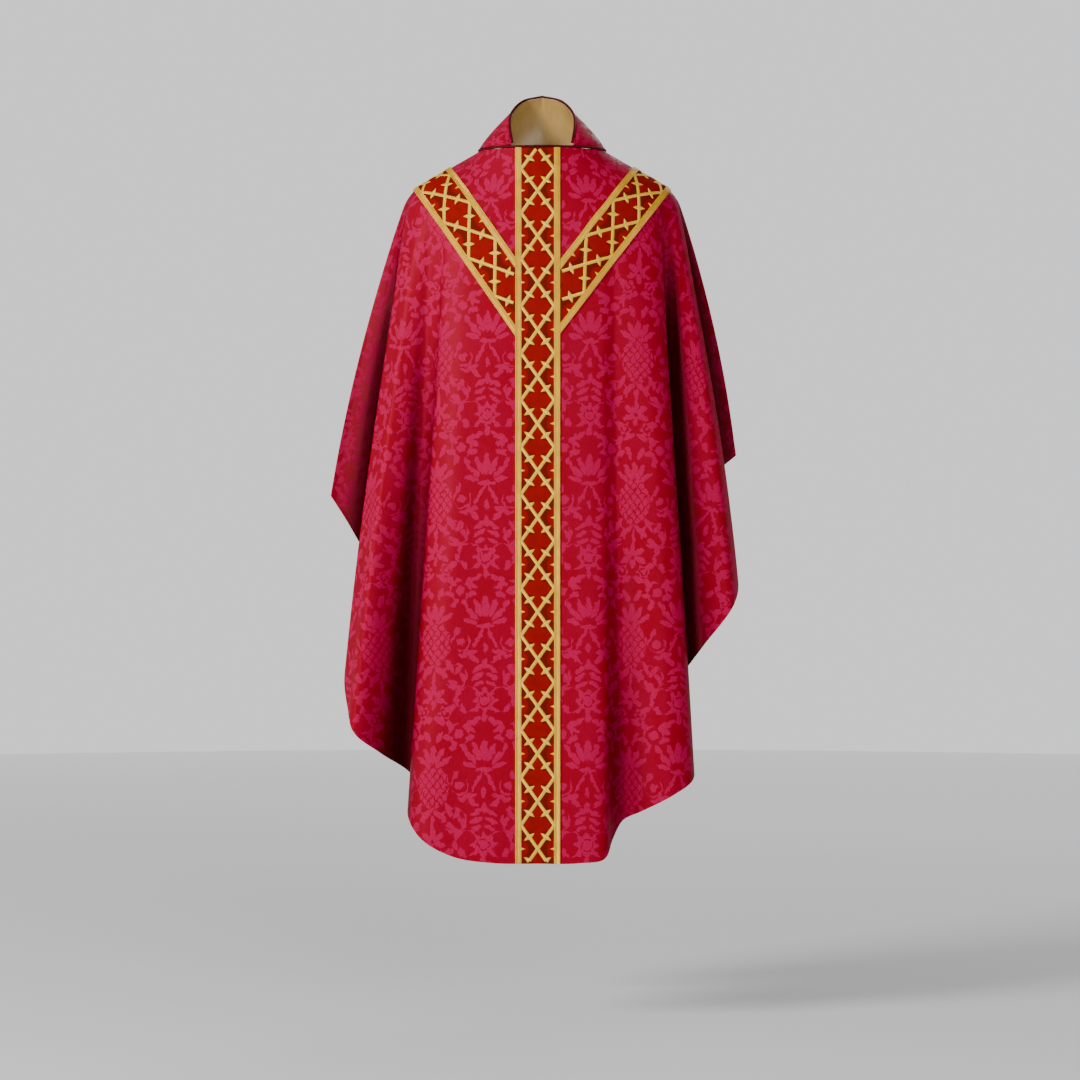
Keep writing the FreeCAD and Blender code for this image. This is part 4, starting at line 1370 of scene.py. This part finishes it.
class CHASUBLE_OT_stage(Operator):
    """Make the floor, the soft lights and the camera"""

    bl_idname = "chasuble.stage"
    bl_label = "Stage"

    def execute(self, context):
        sizes = context.scene.chasuble_sizes
        bpy.ops.object.select_all(action="DESELECT")
        bpy.ops.mesh.primitive_circle_add(
            vertices=128, radius=sizes.floor_radius, fill_type="NGON", location=(0, 0, FLOOR_LEVEL)
        )
        floor = context.active_object
        floor.name = "floor"
        bpy.ops.object.transform_apply(location=True, rotation=False, scale=False)
        material = bpy.data.materials.new("matte_studio_floor")
        material.use_nodes = True
        tree = material.node_tree
        shader = tree.nodes["Principled BSDF"]
        place = add(tree, "TexCoord", out="Object")
        tone = add(tree, "TexNoise", place, Scale=3.0, Detail=3.0)
        tone = add(tree, "Math", tone, 0.2, 0.4, operation="MULTIPLY_ADD")
        colour = add(tree, "Mix", tone, linear("#c6c6c7"), linear("#d0d0d0"), **DYE)
        # painted light: the floor glows, though it is no lamp, more strongly towards its rim
        painted_floor_glow = add(tree, "VectorMath", place, operation="LENGTH")
        painted_floor_glow = add(tree, "MapRange", painted_floor_glow, 1.0, sizes.floor_radius, *FLOOR_PAINTED_GLOW)
        tree.links.new(colour, shader.inputs["Base Color"])
        tree.links.new(painted_floor_glow, shader.inputs["Emission Strength"])
        shader.inputs["Emission Color"].default_value = linear("#ffffff")
        shader.inputs["Roughness"].default_value = 0.85
        floor.data.materials.append(material)
        floor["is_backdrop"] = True
        world = bpy.data.worlds.new("studio")
        context.scene.world = world
        world.use_nodes = True
        tree = world.node_tree
        backdrop = tree.nodes["Background"]
        backdrop.inputs["Color"].default_value = linear("#ffffff")
        seen = add(tree, "LightPath", out="Is Camera Ray")
        strength = add(tree, "Math", seen, BACKDROP - AMBIENT, AMBIENT, operation="MULTIPLY_ADD")
        tree.links.new(strength, backdrop.inputs["Strength"])
        for name, place, aim, width, power in LAMPS:
            lamp = bpy.data.lights.new(name, "AREA")
            lamp.shape = "DISK"
            lamp.size = width
            lamp.energy = power
            light = bpy.data.objects.new(name, lamp)
            context.scene.collection.objects.link(light)
            light.location = place
            away = np.array(place) - np.array(aim)
            pitch = math.atan2(math.hypot(away[0], away[1]), away[2])
            light.rotation_euler = (pitch, 0, math.atan2(away[1], away[0]) + math.pi / 2)
        view = bpy.data.cameras.new("camera")
        view.lens = CAMERA_LENS
        view.sensor_width = 36
        camera = bpy.data.objects.new("camera", view)
        context.scene.collection.objects.link(camera)
        camera.location = CAMERA_PLACE
        camera.rotation_euler = (math.pi / 2, 0, 0)
        context.scene.camera = camera
        return {"FINISHED"}


STEPS = (
    CHASUBLE_OT_stage,
    CHASUBLE_OT_drape,
    CHASUBLE_OT_panels,
    CHASUBLE_OT_linings,
    CHASUBLE_OT_orphreys,
    CHASUBLE_OT_galloons,
    CHASUBLE_OT_lattices,
    CHASUBLE_OT_pipings,
    CHASUBLE_OT_collar,
    CHASUBLE_OT_tapes,
)


class CHASUBLE_PT_sidebar(Panel):
    """Buttons for each group of pieces"""

    bl_idname = "CHASUBLE_PT_sidebar"
    bl_label = "Chasuble"
    bl_space_type = "VIEW_3D"
    bl_region_type = "UI"
    bl_category = "Chasuble"

    def draw(self, context):
        for settings in (context.scene.chasuble_sizes, context.scene.chasuble_colours):
            box = self.layout.box()
            for name in settings.__annotations__:
                box.prop(settings, name)
        for step in STEPS:
            self.layout.operator(step.bl_idname)


CLASSES = (ChasubleSizes, ChasubleColours) + STEPS + (CHASUBLE_PT_sidebar,)


def register():
    for item in CLASSES:
        bpy.utils.register_class(item)
    bpy.types.Scene.chasuble_sizes = PointerProperty(type=ChasubleSizes)
    bpy.types.Scene.chasuble_colours = PointerProperty(type=ChasubleColours)


def unregister():
    del bpy.types.Scene.chasuble_colours
    del bpy.types.Scene.chasuble_sizes
    for item in reversed(CLASSES):
        bpy.utils.unregister_class(item)


def main():
    register()
    for step in STEPS:
        group, name = step.bl_idname.split(".")
        getattr(getattr(bpy.ops, group), name)()
    boxes = {"cad": CAD_BOX, "visual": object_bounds()}
    boxes = {name: [list(corner) for corner in box] for name, box in boxes.items()}


if __name__ == "__main__":
    main()
